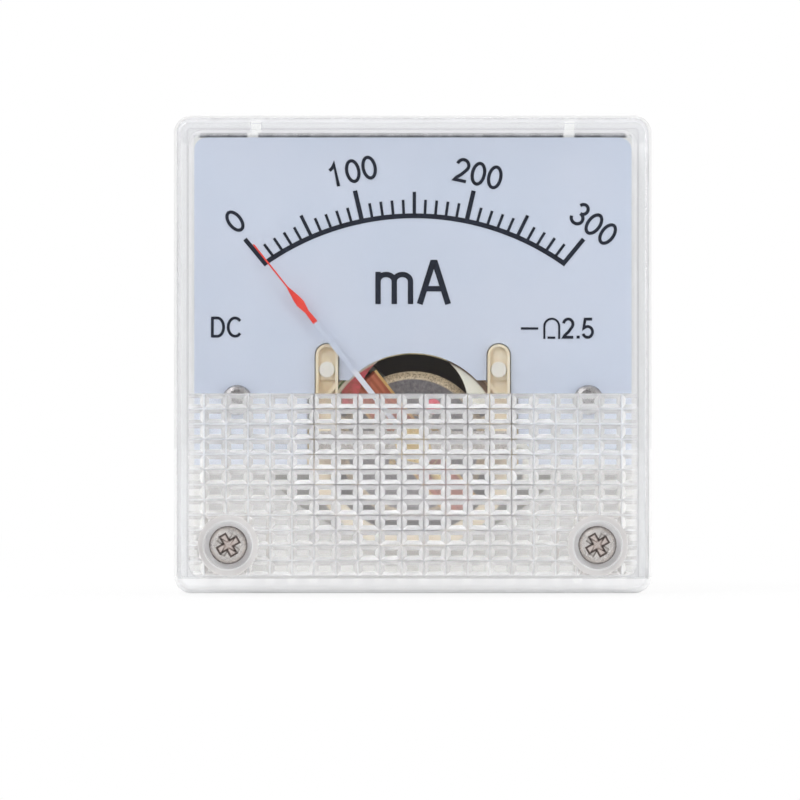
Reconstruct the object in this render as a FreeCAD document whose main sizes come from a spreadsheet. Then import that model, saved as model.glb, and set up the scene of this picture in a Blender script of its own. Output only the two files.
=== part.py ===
import FreeCAD, Part
import math
import os
import Sketcher
from FreeCAD import Placement, Rotation, Vector

# A small square moving-coil panel meter.
# Millimetres, +Z up, +X to the right of a person who reads the dial.
# The dial looks along -Y. The origin is on the axis of the round body, in the flange's rear face.
# Depths are written as "forward" distances: forward = -Y, so the panel is at 0 and the window at 13.

SIZES = {
    # Clear cover
    "case_side": 45.0,
    "case_corner": 1.6,
    "cover_draft": 0.5,
    "cover_seat_play": 0.03,
    "cover_front_corner": 1.4,
    "cover_edge_round": 0.5,
    "cover_front": 13.0,
    "window_thickness": 1.5,
    "cover_wall_back": 1.4,
    "cover_wall_front": 1.1,
    "cavity_corner": 1.4,
    # Prism band of the cover
    "band_top": -3.7,
    "band_foot": 0.196,
    "band_side_rest": 0.8,
    "band_bite": 0.1,
    "prism_depth": 0.38,
    "prism_wall_across": 0.34,
    "prism_wall_up": 0.36,
    "prism_gap": 0.1,
    # Corner screws that hold cover, base and panel together
    "screw_edge_across": 5.25,
    "screw_edge_down": 4.65,
    "boss_radius": 2.75,
    "counterbore_radius": 2.25,
    "counterbore_floor": 10.0,
    "screw_hole_radius": 1.15,
    "screw_shank_radius": 1.0,
    "screw_neck_radius": 0.88,
    "screw_thread_start_behind": 0.5,
    "screw_head_radius": 1.78,
    "screw_head_height": 1.3,
    "screw_tip_behind": 10.0,
    "cross_length": 2.3,
    "cross_width": 0.5,
    "cross_depth": 0.8,
    "cross_turn": 30.0,
    # Snap hooks along the top
    "hook_edge": 7.8,
    "hook_half_width": 0.45,
    "hook_reach": 0.75,
    "hook_back": 3.3,
    "hook_height": 0.9,
    "slot_play": 0.12,
    # Moulded base
    "flange_thickness": 2.0,
    "rim_play": 0.3,
    "rim_corner": 1.2,
    "rim_wall": 1.0,
    "rim_front": 5.0,
    "drum_radius": 19.0,
    "drum_depth": 16.0,
    "drum_wall": 1.2,
    "drum_floor": 2.0,
    "boss_relief": 3.1,
    "dial_post_radius": 1.9,
    "dial_post_back": 4.0,
    "dial_rest_across": 12.0,
    "dial_rest_drop": 2.4,
    "dial_rest_half": 1.0,
    "mark_length": 2.6,
    "mark_width": 0.6,
    "mark_height": 0.35,
    "mark_up": 9.6,
    # Dial plate
    "dial_play": 0.4,
    "dial_drop": 0.2,
    "dial_bottom": 10.6,
    "dial_corner": 1.2,
    "dial_front": 7.2,
    "dial_thickness": 0.5,
    "dial_gap_half": 9.9,
    "dial_gap_rise": 4.6,
    "dial_arc_radius": 8.3,
    "dial_arc_rise": 0.3,
    "dial_notch_rise": 6.05,
    "dial_post_inset": 1.9973,
    "dial_screw_down": 4.3,
    "dial_screw_hole": 1.1,
    "dial_screw_head_radius": 1.4,
    "dial_screw_head_height": 0.85,
    "dial_screw_length": 5.0,
    # Ears of the movement frame
    "ear_across": 8.05,
    "ear_half_width": 1.05,
    "ear_round_rise": 8.4,
    "ear_front": 7.75,
    "ear_rim": 0.27,
    "ear_sink": 0.4,
    "ear_stud_radius": 0.72,
    "ear_stud_rise": 7.05,
    "ear_stud_height": 0.28,
    "ear_step_rise": 6.1,
    "ear_step_sink": 0.3,
    "ear_play": 0.1,
    # Pivot, magnet core and yoke ring
    "drum_play": 0.2,
    "core_radius": 6.9,
    "core_chamfer": 0.5,
    "core_front": 5.3,
    "core_length": 8.0,
    "yoke_inner_radius": 8.5,
    "yoke_wall": 0.6,
    "yoke_front": 6.3,
    "yoke_length": 10.0,
    "yoke_seam": 0.3,
    "yoke_chamfer": 0.2,
    # Movement frame
    "gap_play": 0.02,
    "arm_half_angle": 22.0,
    "arch_inner_radius": 8.4,
    "arch_outer_radius": 9.9,
    "arch_end_angle": 98.0,
    "arch_thickness": 0.9,
    "shoulder_window_radius": 5.15,
    "shoulder_window_rise": 3.85,
    "shoulder_outer_radius": 8.9,
    "shoulder_foot_rise": 3.5,
    "shoulder_tip_across": 2.2,
    "shoulder_thickness": 0.28,
    "block_inner": 6.98,
    "block_half_height": 1.9,
    "post_half_height": 1.3,
    "post_front": 9.9,
    "frame_back": 6.0,
    # Coil that turns in the gap
    "coil_inner_reach": 7.1,
    "former_sheet": 0.2,
    "winding_thickness": 0.45,
    "coil_width": 3.4,
    "winding_width": 2.9,
    "coil_front_inner": 5.5,
    "coil_back_inner": 2.9,
    "rest_angle": 38.5,
    # Pivot staffs
    "staff_radius": 0.4,
    "staff_foot_radius": 1.25,
    "staff_foot_height": 0.35,
    "staff_collar_radius": 0.85,
    "staff_collar_height": 0.3,
    "staff_cone": 0.35,
    "staff_point_radius": 0.06,
    "front_staff_tip": 9.75,
    "back_staff_tip": 5.9,
    # Pointer and its balance
    "pointer_front": 8.4,
    "pointer_thickness": 0.12,
    "pointer_hub_radius": 1.0,
    "pointer_hole_radius": 0.42,
    "strip_half_width": 0.25,
    "strip_end": 14.6,
    "vane_start": 15.9,
    "vane_widest": 16.9,
    "vane_half_width": 0.4,
    "vane_end": 18.9,
    "needle_half_width": 0.15,
    "pointer_length": 24.0,
    "balance_thickness": 0.2,
    "balance_arm_half": 0.15,
    "balance_side_reach": 2.8,
    "balance_tail_reach": 4.5,
    "balance_hub_radius": 0.9,
    "weight_radius": 0.32,
    "weight_length": 0.7,
    "tail_weight_radius": 0.55,
    "tail_weight_length": 1.1,
    # Hairsprings
    "spring_pitch": 0.52,
    "spring_ribbon": 0.1,
    "spring_height": 0.3,
    "front_spring_back": 8.95,
    "back_spring_back": 4.85,
    "collet_radius": 0.55,
    # Bridges and jewel screws
    "bridge_thickness": 0.6,
    "bridge_half_length": 9.1,
    "bridge_half_height": 1.3,
    "bridge_lobe_radius": 2.2,
    "stop_reach": 3.9,
    "stop_angle": 51.3,
    "stop_pin_radius": 0.35,
    "stop_pad_radius": 0.6,
    "stop_pin_back": 7.9,
    "jewel_radius": 0.9,
    "jewel_front_start": 9.5,
    "jewel_front_end": 10.95,
    "jewel_cup_depth": 0.4,
    "jewel_cup_radius": 0.5,
    "jewel_slot_width": 0.3,
    "jewel_slot_depth": 0.3,
    "jewel_back_start": 5.65,
    "jewel_back_end": 8.3,
    "jewel_play": 0.02,
    "lock_nut_flat": 1.55,
    "lock_nut_turn": 12.0,
    "lock_nut_height": 0.28,
    "back_bridge_play": 1.0395,
    "back_bridge_half_height": 2.0,
    "back_bridge_thickness": 1.0,
    "movement_screw_inset": 1.6,
    "movement_post_radius": 1.75,
    "small_head_radius": 1.05,
    "small_head_height": 0.42,
    "small_shank_radius": 0.5,
    "small_shank_length": 2.2,
    "small_slot_width": 0.28,
    "small_slot_depth": 0.2,
    "movement_head_radius": 1.6,
    "movement_head_height": 0.9,
    "movement_shank_radius": 0.8,
    "movement_shank_length": 4.0,
    "movement_slot_turn": 35.0,
    "movement_slot_width": 0.45,
    "movement_slot_depth": 0.4,
    # Zero lever
    "lever_thickness": 0.3,
    "lever_ring_radius": 1.7,
    "lever_ring_bore": 0.95,
    "lever_half_width": 0.35,
    "lever_tip_across": 1.9,
    "lever_tip_up": 3.6,
    "lever_tip_radius": 0.7,
    "lug_width": 0.5,
    "lug_thickness": 0.25,
    "seal_radius": 0.72,
    "seal_height": 0.35,
    "tab_tail_up": 3.8,
    # Terminals
    "terminal_across": 9.0,
    "terminal_up": 4.0,
    "terminal_shank_radius": 1.0,
    "terminal_head_flat": 2.0,
    "terminal_head_height": 1.2,
    "terminal_tip_behind": 24.5,
    "terminal_chamfer": 0.25,
    "terminal_washer_radius": 2.5,
    "terminal_washer_thickness": 0.3,
    "terminal_nut_turn": 10.0,
    "terminal_nut_flat": 2.0,
    "terminal_nut_height": 1.6,
    "terminal_play": 0.03,
    "tag_radius": 2.3,
    "tag_half_width": 1.1,
    "tag_reach": 6.4,
    "tag_thickness": 0.4,
    # Shunt and lead wires
    "shunt_radius": 1.5,
    "shunt_half_length": 4.6,
    "shunt_cheek_radius": 2.0,
    "shunt_cheek_thickness": 0.6,
    "shunt_lead_radius": 0.3,
    "shunt_ahead": 4.7,
    "lead_radius": 0.35,
    "lead_tag_rise": 0.2,
    "lead_rise": 3.0,
    "lead_side_across": 10.6,
    "lead_dip": 3.4,
}

ROWS = 12
GROOVES_EACH_SIDE = 10
SPRING_HALF_TURNS = 9

# Shares of another size
GROOVE_LIP = 0.1
OVERRUN = 1.2
DEEPER = 1.5
HALF_CIRCLE_SLACK = 1.0001
TIP_CONE = 0.35
DOME_REACH = 1.6
NECK_SHARE = 0.7
CHEEK_SHARE = 0.8
STRIP_TAPER = 0.8
VANE_TAPER = 0.85
NEEDLE_TAPER = 0.4
CORNER_SHARE = 0.4
END_ROUNDING = 0.95
CHAMFER_SLOPE = 0.6

# Sizes that follow from those above
FOLLOWING = {
    "cover_front_side": "case_side - 2 * cover_draft",
    "cavity_side": "case_side - 2 * cover_wall_back",
    "cavity_front_side": "cover_front_side - 2 * cover_wall_front",
    "band_half_width": "cavity_side / 2 + band_bite",
    "row_pitch": "(cavity_front_side / 2 - band_foot + band_top) / {}".format(ROWS),
    "column_pitch": "(cavity_front_side - band_side_rest) / {}".format(2 * GROOVES_EACH_SIDE),
    "screw_across": "case_side / 2 - screw_edge_across",
    "screw_down": "case_side / 2 - screw_edge_down",
    "hook_across": "case_side / 2 - hook_edge",
    "rim_side": "cavity_side - 2 * rim_play",
    "dial_width": "cavity_front_side - 2 * dial_play",
    "dial_top": "dial_width / 2 - dial_drop",
    "dial_rest_up": "rim_side / 2 - dial_rest_drop",
    "dial_post_reach": "drum_radius - dial_post_inset",
    "dial_screw_across": "sqrt(dial_post_reach * dial_post_reach - dial_screw_down * dial_screw_down)",
    "drum_inside": "drum_radius - drum_wall",
    "pivot_down": "drum_inside - yoke_inner_radius - yoke_wall - drum_play",
    "dial_gap_top": "pivot_down - dial_gap_rise",
    "dial_arc_down": "pivot_down - dial_arc_rise",
    "dial_notch_end": "pivot_down - dial_notch_rise",
    "ear_round_up": "ear_round_rise - pivot_down",
    "ear_stud_down": "pivot_down - ear_stud_rise",
    "ear_step_down": "pivot_down - ear_step_rise",
    "back_bridge_reach": "sqrt(drum_inside * drum_inside - pivot_down * pivot_down)",
    "back_bridge_half_length": "back_bridge_reach - back_bridge_play",
    "movement_screw_across": "back_bridge_half_length - movement_screw_inset",
    "shunt_behind": "drum_depth - shunt_ahead",
}

DOC = FreeCAD.newDocument("panel_meter")
MADE = []


class Size:
    """A number that keeps the sheet formula it comes from."""

    def __init__(self, number, formula):
        self.number = float(number)
        self.formula = formula

    @staticmethod
    def of(other):
        if isinstance(other, Size):
            return other
        return Size(other, "({:.6f})".format(float(other)))

    def __add__(self, other):
        other = Size.of(other)
        return Size(self.number + other.number, "({} + {})".format(self.formula, other.formula))

    def __sub__(self, other):
        other = Size.of(other)
        return Size(self.number - other.number, "({} - {})".format(self.formula, other.formula))

    def __mul__(self, other):
        other = Size.of(other)
        return Size(self.number * other.number, "({} * {})".format(self.formula, other.formula))

    def __truediv__(self, other):
        other = Size.of(other)
        return Size(self.number / other.number, "({} / {})".format(self.formula, other.formula))

    def __neg__(self):
        return Size(-self.number, "(0 - {})".format(self.formula))

    def __radd__(self, other):
        return Size.of(other) + self

    def __rsub__(self, other):
        return Size.of(other) - self

    def __rmul__(self, other):
        return Size.of(other) * self


def sine(angle):
    angle = Size.of(angle)
    return Size(math.sin(math.radians(angle.number)), "sin({})".format(angle.formula))


def cosine(angle):
    angle = Size.of(angle)
    return Size(math.cos(math.radians(angle.number)), "cos({})".format(angle.formula))


def root(value):
    value = Size.of(value)
    return Size(math.sqrt(value.number), "sqrt({})".format(value.formula))


def write_sheet():
    sheet = DOC.addObject("Spreadsheet::Sheet", "Sizes")
    cells = [(alias, str(number)) for alias, number in SIZES.items()]
    cells += [(alias, "=" + formula) for alias, formula in FOLLOWING.items()]
    for row, (alias, content) in enumerate(cells, start=1):
        sheet.set("A{}".format(row), alias.replace("_", " "))
        sheet.set("B{}".format(row), content)
        sheet.setAlias("B{}".format(row), alias)
    DOC.recompute()
    return sheet


SHEET = write_sheet()


def size(alias):
    return Size(SHEET.get(alias), "Sizes." + alias)


def bind(target, path, value):
    target.setExpression(path, Size.of(value).formula)


class Drawing:
    """A sketch on one of its body's origin planes, with every point held by a sheet formula."""

    def __init__(self, body, name, plane="XZ_Plane", offset=0.0):
        self.sketch = body.newObject("Sketcher::SketchObject", name)
        base = [item for item in body.Origin.OriginFeatures if item.Role == plane][0]
        self.sketch.AttachmentSupport = [(base, "")]
        self.sketch.MapMode = "FlatFace"
        offset = Size.of(offset)
        self.sketch.AttachmentOffset = Placement(Vector(0, 0, offset.number), Rotation())
        bind(self.sketch, "AttachmentOffset.Base.z", offset)

    def hold(self, constraint, value):
        index = self.sketch.addConstraint(constraint)
        bind(self.sketch, "Constraints[{}]".format(index), value)

    def pin(self, geometry, position, across, up):
        across, up = Size.of(across), Size.of(up)
        self.hold(Sketcher.Constraint("DistanceX", -1, 1, geometry, position, across.number), across)
        self.hold(Sketcher.Constraint("DistanceY", -1, 1, geometry, position, up.number), up)

    def circle(self, across, up, radius):
        across, up, radius = Size.of(across), Size.of(up), Size.of(radius)
        centre = Vector(across.number, up.number, 0)
        index = self.sketch.addGeometry(Part.Circle(centre, Vector(0, 0, 1), radius.number))
        self.pin(index, 3, across, up)
        self.hold(Sketcher.Constraint("Radius", index, radius.number), radius)
        return self

    def outline(self, points):
        """Closed path. A point is (across, up) or (across, up, radius, side).

        The last two bend the run that starts at the point; side 1 has its centre to the left.
        """
        ends = [(Size.of(point[0]), Size.of(point[1])) for point in points]
        runs = []
        for index, point in enumerate(points):
            start = Vector(ends[index][0].number, ends[index][1].number, 0)
            after = ends[(index + 1) % len(points)]
            finish = Vector(after[0].number, after[1].number, 0)
            if len(point) == 2:
                runs.append(self.sketch.addGeometry(Part.LineSegment(start, finish)))
            else:
                runs.append(self.bent_run(start, finish, Size.of(point[2]), point[3]))
        for index, point in enumerate(points):
            turn = runs[index]
            previous = runs[index - 1]
            ahead = self.forward_ends(points[index])
            behind = self.forward_ends(points[index - 1])
            link = Sketcher.Constraint("Coincident", previous, behind[1], turn, ahead[0])
            self.sketch.addConstraint(link)
            self.pin(turn, ahead[0], ends[index][0], ends[index][1])
        return self

    @staticmethod
    def forward_ends(point):
        if len(point) > 2 and point[3] < 0:
            return 2, 1
        return 1, 2

    def bent_run(self, start, finish, radius, side):
        chord = finish - start
        middle = (start + finish) * 0.5
        rise = math.sqrt(max(radius.number ** 2 - (chord.Length / 2) ** 2, 0.0))
        left = Vector(-chord.y, chord.x, 0).normalize()
        centre = middle + left * rise * side
        circle = Part.Circle(centre, Vector(0, 0, 1), radius.number)
        first, last = (start, finish) if side > 0 else (finish, start)
        begin = math.atan2(first.y - centre.y, first.x - centre.x)
        end = math.atan2(last.y - centre.y, last.x - centre.x)
        index = self.sketch.addGeometry(Part.ArcOfCircle(circle, begin, end))
        self.hold(Sketcher.Constraint("Radius", index, radius.number), radius)
        return index

    def box(self, left, bottom, right, top):
        return self.outline([(left, bottom), (right, bottom), (right, top), (left, top)])

    def square(self, side, corner):
        return self.soft_box(-side / 2, -side / 2, side / 2, side / 2, corner)

    def soft_box(self, left, bottom, right, top, corner):
        left, bottom, right, top = [Size.of(value) for value in (left, bottom, right, top)]
        return self.outline([
            (left + corner, bottom),
            (right - corner, bottom, corner, 1),
            (right, bottom + corner),
            (right, top - corner, corner, 1),
            (right - corner, top),
            (left + corner, top, corner, 1),
            (left, top - corner),
            (left, bottom + corner, corner, 1),
        ])

    def slot_up(self, across, bottom, round_up, half):
        """Upright bar with a round top."""
        return self.outline([
            (across - half, bottom),
            (across + half, bottom),
            (across + half, round_up, half * HALF_CIRCLE_SLACK, 1),
            (across - half, round_up),
        ])

    def ring_sector(self, up, inner, outer, first, last):
        """Part of a ring about (0, up). Angles run clockwise from straight up."""
        return self.outline([
            (inner * sine(first), up + inner * cosine(first), inner, -1),
            (inner * sine(last), up + inner * cosine(last)),
            (outer * sine(last), up + outer * cosine(last), outer, 1),
            (outer * sine(first), up + outer * cosine(first)),
        ])


def new_body(name):
    return DOC.addObject("PartDesign::Body", name)


def feature(body, kind, name, drawing):
    item = body.newObject("PartDesign::" + kind, name)
    item.Profile = drawing.sketch
    return item


def change(body, make, grows):
    """Runs one feature and stops if it left the solid as it was."""
    before = body.Shape.Volume if not body.Shape.isNull() else 0.0
    item = make()
    body.Tip = item
    DOC.recompute()
    after = body.Shape.Volume
    moved = after - before
    if (moved <= 0) == grows or abs(moved) < 1e-7:
        raise RuntimeError("{} changed the volume by {:.6f}".format(item.Name, moved))
    return item


def pad(body, name, drawing, length, both_ways=False):
    """Adds material from the sketch forward, or evenly to both sides of it."""

    def make():
        item = feature(body, "Pad", name, drawing)
        bind(item, "Length", length)
        item.Midplane = both_ways
        return item

    return change(body, make, True)


def pocket(body, name, drawing, depth):
    """Cuts backward from the sketch."""

    def make():
        item = feature(body, "Pocket", name, drawing)
        bind(item, "Length", depth)
        return item

    return change(body, make, False)


def through(body, name, drawing):
    """Cuts the whole piece, to both sides of the sketch."""

    def make():
        item = feature(body, "Pocket", name, drawing)
        item.Type = "ThroughAll"
        item.Midplane = True
        return item

    return change(body, make, False)


def turned(body, name, drawing, axis="V_Axis"):
    def make():
        item = feature(body, "Revolution", name, drawing)
        item.ReferenceAxis = (drawing.sketch, [axis])
        item.Angle = 360
        return item

    return change(body, make, True)


def loft(body, name, kind, first, second):
    def make():
        item = feature(body, kind, name, first)
        item.Sections = [(second.sketch, [""])]
        item.Ruled = True
        return item

    return change(body, make, kind == "AdditiveLoft")


def keep(item, label):
    item.Label = label
    MADE.append(item)
    return item


def place(item, across=0.0, forward=0.0, up=0.0, turn=0.0):
    """Puts a piece on an axis parallel to Y. Turn is clockwise as seen from the front."""
    across, forward, up = [Size.of(value) for value in (across, forward, up)]
    rotation = Rotation(Vector(0, 1, 0), Size.of(turn).number)
    item.Placement = Placement(Vector(across.number, -forward.number, up.number), rotation)
    bind(item, "Placement.Base.x", across)
    bind(item, "Placement.Base.y", -forward)
    bind(item, "Placement.Base.z", up)
    if Size.of(turn).number:
        bind(item, "Placement.Rotation.Angle", turn)
    DOC.recompute()
    return item


def twins(make_one, label):
    """The same piece on the left and on the right, as one node."""
    pieces = []
    for side in (-1, 1):
        piece = make_one(side)
        piece.Label = "{}_{}".format(label, "left" if side < 0 else "right")
        pieces.append(piece)
    group = DOC.addObject("Part::Compound", label + "_pair")
    group.Links = pieces
    DOC.recompute()
    return keep(group, label)


# Clear moulded cover with its band of prisms

def front_cover():
    body = new_body("front_cover_body")
    front = size("cover_front")
    flange = size("flange_thickness") + size("cover_seat_play")
    inside = front - size("window_thickness")
    outer_back = Drawing(body, "outer_back", offset=flange)
    outer_back.square(size("case_side"), size("case_corner"))
    outer_front = Drawing(body, "outer_front", offset=front)
    outer_front.square(size("cover_front_side"), size("cover_front_corner"))
    loft(body, "shell", "AdditiveLoft", outer_back, outer_front)
    soften_front_edge(body, front)
    inner_back = Drawing(body, "inner_back", offset=flange)
    inner_back.square(size("cavity_side"), size("cavity_corner"))
    inner_front = Drawing(body, "inner_front", offset=inside)
    inner_front.square(size("cavity_front_side"), size("cavity_corner"))
    loft(body, "hollow", "SubtractiveLoft", inner_back, inner_front)
    prism_band(body, inside)
    corner_bosses(body, flange, inside)
    snap_slots(body)
    return keep(body, "front_cover")


def soften_front_edge(body, front):
    edges = []
    shell = body.Tip
    for index, edge in enumerate(shell.Shape.Edges, start=1):
        if all(abs(vertex.Point.y + front.number) < 1e-6 for vertex in edge.Vertexes):
            edges.append("Edge{}".format(index))

    def make():
        item = body.newObject("PartDesign::Fillet", "front_edge")
        item.Base = (shell, edges)
        bind(item, "Radius", size("cover_edge_round"))
        return item

    change(body, make, False)


def prism_band(body, inside):
    """Cells with flat tops and steep walls: a ridged slab, then grooves up and down across it."""
    pitch = size("row_pitch")
    depth = size("prism_depth")
    top = size("band_top")
    half = size("band_half_width")
    seat = -(inside + size("window_thickness") / 2)
    ridges = Drawing(body, "ridge_profile", "YZ_Plane", -half)
    gap = size("prism_gap") / 2
    wall_up = size("prism_wall_up")
    points = [(seat, top)]
    for row in range(ROWS):
        high = top - pitch * row - gap
        low = top - pitch * (row + 1) + gap
        points.append((-inside, high))
        points.append((-(inside - depth), high - wall_up))
        points.append((-(inside - depth), low + wall_up))
        points.append((-inside, low))
    points.append((seat, top - pitch * ROWS))
    ridges.outline(points)
    pad(body, "ridges", ridges, half * 2)
    grooves = Drawing(body, "groove_profile", "XY_Plane", top + pitch / 2)
    column = size("column_pitch")
    for side in (-1, 1):
        for count in range(GROOVES_EACH_SIDE):
            middle = side * column * (count + 0.5)
            open_half = gap + size("prism_wall_across") * (1 + GROOVE_LIP)
            lip = -(inside - depth) + depth * GROOVE_LIP
            grooves.outline([
                (middle - open_half, lip),
                (middle - gap, -inside),
                (middle + gap, -inside),
                (middle + open_half, lip),
            ])
    pocket(body, "cross_grooves", grooves, pitch * (ROWS + 1))


def corner_bosses(body, flange, inside):
    across = size("screw_across")
    down = -size("screw_down")
    posts = Drawing(body, "boss_rings", offset=flange)
    holes = Drawing(body, "boss_holes", offset=size("cover_front"))
    sinks = Drawing(body, "boss_sinks", offset=size("cover_front"))
    for side in (-1, 1):
        posts.circle(side * across, down, size("boss_radius"))
        holes.circle(side * across, down, size("screw_hole_radius"))
        sinks.circle(side * across, down, size("counterbore_radius"))
    pad(body, "bosses", posts, inside + size("window_thickness") / 2 - flange)
    pocket(body, "counterbores", sinks, size("cover_front") - size("counterbore_floor"))
    through(body, "screw_holes", holes)


def snap_slots(body):
    front = size("hook_back") + size("hook_height") + size("slot_play")
    slots = Drawing(body, "slot_outline", offset=front)
    half = size("hook_half_width") + size("slot_play")
    low = size("cavity_front_side") / 2 - size("window_thickness") / 2
    high = size("case_side") / 2 + size("window_thickness") / 2
    for side in (-1, 1):
        middle = side * size("hook_across")
        slots.box(middle - half, low, middle + half, high)
    pocket(body, "slots", slots, size("hook_height") + 2 * size("slot_play"))


# Moulded base: flange, rim and round body

def base_housing():
    body = new_body("base_housing_body")
    flange = size("flange_thickness")
    drum = size("drum_depth")
    plate = Drawing(body, "flange_outline")
    plate.square(size("case_side"), size("case_corner"))
    pad(body, "flange", plate, flange)
    round_body = Drawing(body, "drum_outline", offset=-drum)
    round_body.circle(0, 0, size("drum_radius"))
    pad(body, "drum", round_body, drum + flange / 2)
    rim = Drawing(body, "rim_outline", offset=flange / 2)
    rim.square(size("rim_side"), size("rim_corner"))
    rim.square(size("rim_side") - size("rim_wall") * 2, size("rim_corner") / 2)
    pad(body, "rim", rim, size("rim_front") - flange / 2)
    hollow = Drawing(body, "hollow_outline", offset=size("rim_front"))
    hollow.circle(0, 0, size("drum_inside"))
    pocket(body, "hollow", hollow, drum + size("rim_front") - size("drum_floor"))
    base_posts(body)
    base_holes(body)
    hooks(body)
    polarity_marks(body)
    return keep(body, "base_housing")


def base_posts(body):
    dial_back = size("dial_front") - size("dial_thickness")
    posts = Drawing(body, "dial_posts", offset=-size("dial_post_back"))
    rests = Drawing(body, "dial_rests", offset=size("flange_thickness") / 2)
    floor = size("drum_depth") - size("drum_floor") / 2
    carriers = Drawing(body, "movement_posts", offset=-floor)
    half = size("dial_rest_half")
    for side in (-1, 1):
        post = side * size("dial_screw_across")
        posts.circle(post, -size("dial_screw_down"), size("dial_post_radius"))
        middle = side * size("dial_rest_across")
        up = size("dial_rest_up")
        rests.box(middle - half, up - half, middle + half, up + half)
        carrier = side * size("movement_screw_across")
        carriers.circle(carrier, -size("pivot_down"), size("movement_post_radius"))
    pad(body, "dial_post", posts, size("dial_post_back") + dial_back)
    pad(body, "dial_rest", rests, dial_back - size("flange_thickness") / 2)
    seat = size("frame_back") + size("back_bridge_thickness")
    pad(body, "movement_post", carriers, floor - seat)


def base_holes(body):
    dial_back = size("dial_front") - size("dial_thickness")
    reach = size("dial_screw_length")
    seat = size("frame_back") + size("back_bridge_thickness")
    relief = Drawing(body, "boss_relief_rings", offset=size("rim_front") + size("flange_thickness"))
    bolt = Drawing(body, "bolt_holes")
    pilots = Drawing(body, "dial_pilots", offset=dial_back)
    carriers = Drawing(body, "movement_pilots", offset=-seat)
    terminals = Drawing(body, "terminal_holes", offset=-size("drum_depth"))
    for side in (-1, 1):
        across = side * size("screw_across")
        relief.circle(across, -size("screw_down"), size("boss_relief"))
        bolt.circle(across, -size("screw_down"), size("screw_hole_radius"))
        pilot = size("screw_shank_radius") + size("terminal_play")
        pilots.circle(side * size("dial_screw_across"), -size("dial_screw_down"), pilot)
        bore = size("movement_shank_radius") + size("terminal_play")
        carriers.circle(side * size("movement_screw_across"), -size("pivot_down"), bore)
        shank = size("terminal_shank_radius") + size("terminal_play")
        terminals.circle(side * size("terminal_across"), size("terminal_up"), shank)
    pocket(body, "relief", relief, size("rim_front"))
    through(body, "bolt_hole", bolt)
    pocket(body, "dial_pilot", pilots, reach + size("terminal_play"))
    pocket(body, "movement_pilot", carriers, size("movement_shank_length") + size("terminal_play"))

    def make():
        item = feature(body, "Pocket", "terminal_hole", terminals)
        bind(item, "Length", size("drum_floor") * DEEPER)
        item.Reversed = True
        return item

    change(body, make, False)


def hooks(body):
    profile = Drawing(body, "hook_outline", offset=size("hook_back"))
    half = size("hook_half_width")
    foot = size("rim_side") / 2 - size("rim_wall") / 2
    tip = size("rim_side") / 2 + size("hook_reach")
    for side in (-1, 1):
        middle = side * size("hook_across")
        profile.box(middle - half, foot, middle + half, tip)
    pad(body, "hook", profile, size("hook_height"))


def polarity_marks(body):
    """Raised plus and minus beside the two terminals."""
    marks = Drawing(body, "mark_outline", offset=-(size("drum_depth") + size("mark_height")))
    long_half = size("mark_length") / 2
    thin_half = size("mark_width") / 2
    up = size("mark_up")
    across = size("terminal_across")
    marks.box(across - long_half, up - thin_half, across + long_half, up + thin_half)
    marks.outline([
        (-across - long_half, up - thin_half),
        (-across - thin_half, up - thin_half),
        (-across - thin_half, up - long_half),
        (-across + thin_half, up - long_half),
        (-across + thin_half, up - thin_half),
        (-across + long_half, up - thin_half),
        (-across + long_half, up + thin_half),
        (-across + thin_half, up + thin_half),
        (-across + thin_half, up + long_half),
        (-across - thin_half, up + long_half),
        (-across - thin_half, up + thin_half),
        (-across - long_half, up + thin_half),
    ])
    pad(body, "marks", marks, size("mark_height") * DEEPER)


# Dial plate

def dial_plate():
    body = new_body("dial_plate_body")
    back = size("dial_front") - size("dial_thickness")
    half = size("dial_width") / 2
    sheet = Drawing(body, "sheet_outline", offset=back)
    corner = size("dial_corner")
    top = size("dial_top")
    bottom = -size("dial_bottom")
    play = size("ear_play")
    ear_out = size("ear_across") + size("ear_half_width") + play
    ear_in = size("ear_across") - size("ear_half_width") - play
    round_half = size("ear_half_width") + play
    gap = size("dial_gap_half")
    gap_up = -size("dial_gap_top")
    arc_up = -size("dial_arc_down")
    radius = size("dial_arc_radius")
    end_up = -size("dial_notch_end")
    end_across = root(radius * radius - (end_up - arc_up) * (end_up - arc_up))
    round_up = size("ear_round_up")
    sheet.outline([
        (-half, bottom),
        (-gap, bottom),
        (-gap, gap_up),
        (-ear_out, gap_up),
        (-ear_out, round_up, round_half * HALF_CIRCLE_SLACK, -1),
        (-ear_in, round_up),
        (-ear_in, end_up),
        (-end_across, end_up, radius, -1),
        (end_across, end_up),
        (ear_in, end_up),
        (ear_in, round_up, round_half * HALF_CIRCLE_SLACK, -1),
        (ear_out, round_up),
        (ear_out, gap_up),
        (gap, gap_up),
        (gap, bottom),
        (half, bottom),
        (half, top - corner, corner, 1),
        (half - corner, top),
        (corner - half, top, corner, 1),
        (-half, top - corner),
    ])
    pad(body, "sheet", sheet, size("dial_thickness"))
    holes = Drawing(body, "screw_holes")
    for side in (-1, 1):
        holes.circle(side * size("dial_screw_across"), -size("dial_screw_down"), size("dial_screw_hole"))
    through(body, "holes", holes)
    return keep(body, "dial_plate")


# Screws and nuts

def turned_screw(name, head_radius, head_height, shank_radius, length, dome=0.25, neck=()):
    """Pan-head screw about its own Y axis, head forward, seat at zero. The neck is a plain length."""
    body = new_body(name + "_body")
    profile = Drawing(body, name + "_profile", "XY_Plane")
    tip = shank_radius * TIP_CONE
    rounding = head_height * dome
    profile.outline([
        (0, -head_height),
        (0, length),
        (shank_radius - tip, length),
        (shank_radius, length - tip),
        *(neck or [(shank_radius, 0)]),
        (head_radius, 0),
        (head_radius, -(head_height - rounding * DOME_REACH)),
        (head_radius - rounding * 0.6, -(head_height - rounding * 0.5)),
        (head_radius - rounding * 2.0, -head_height),
    ])
    turned(body, name + "_turning", profile)
    return body


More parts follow.
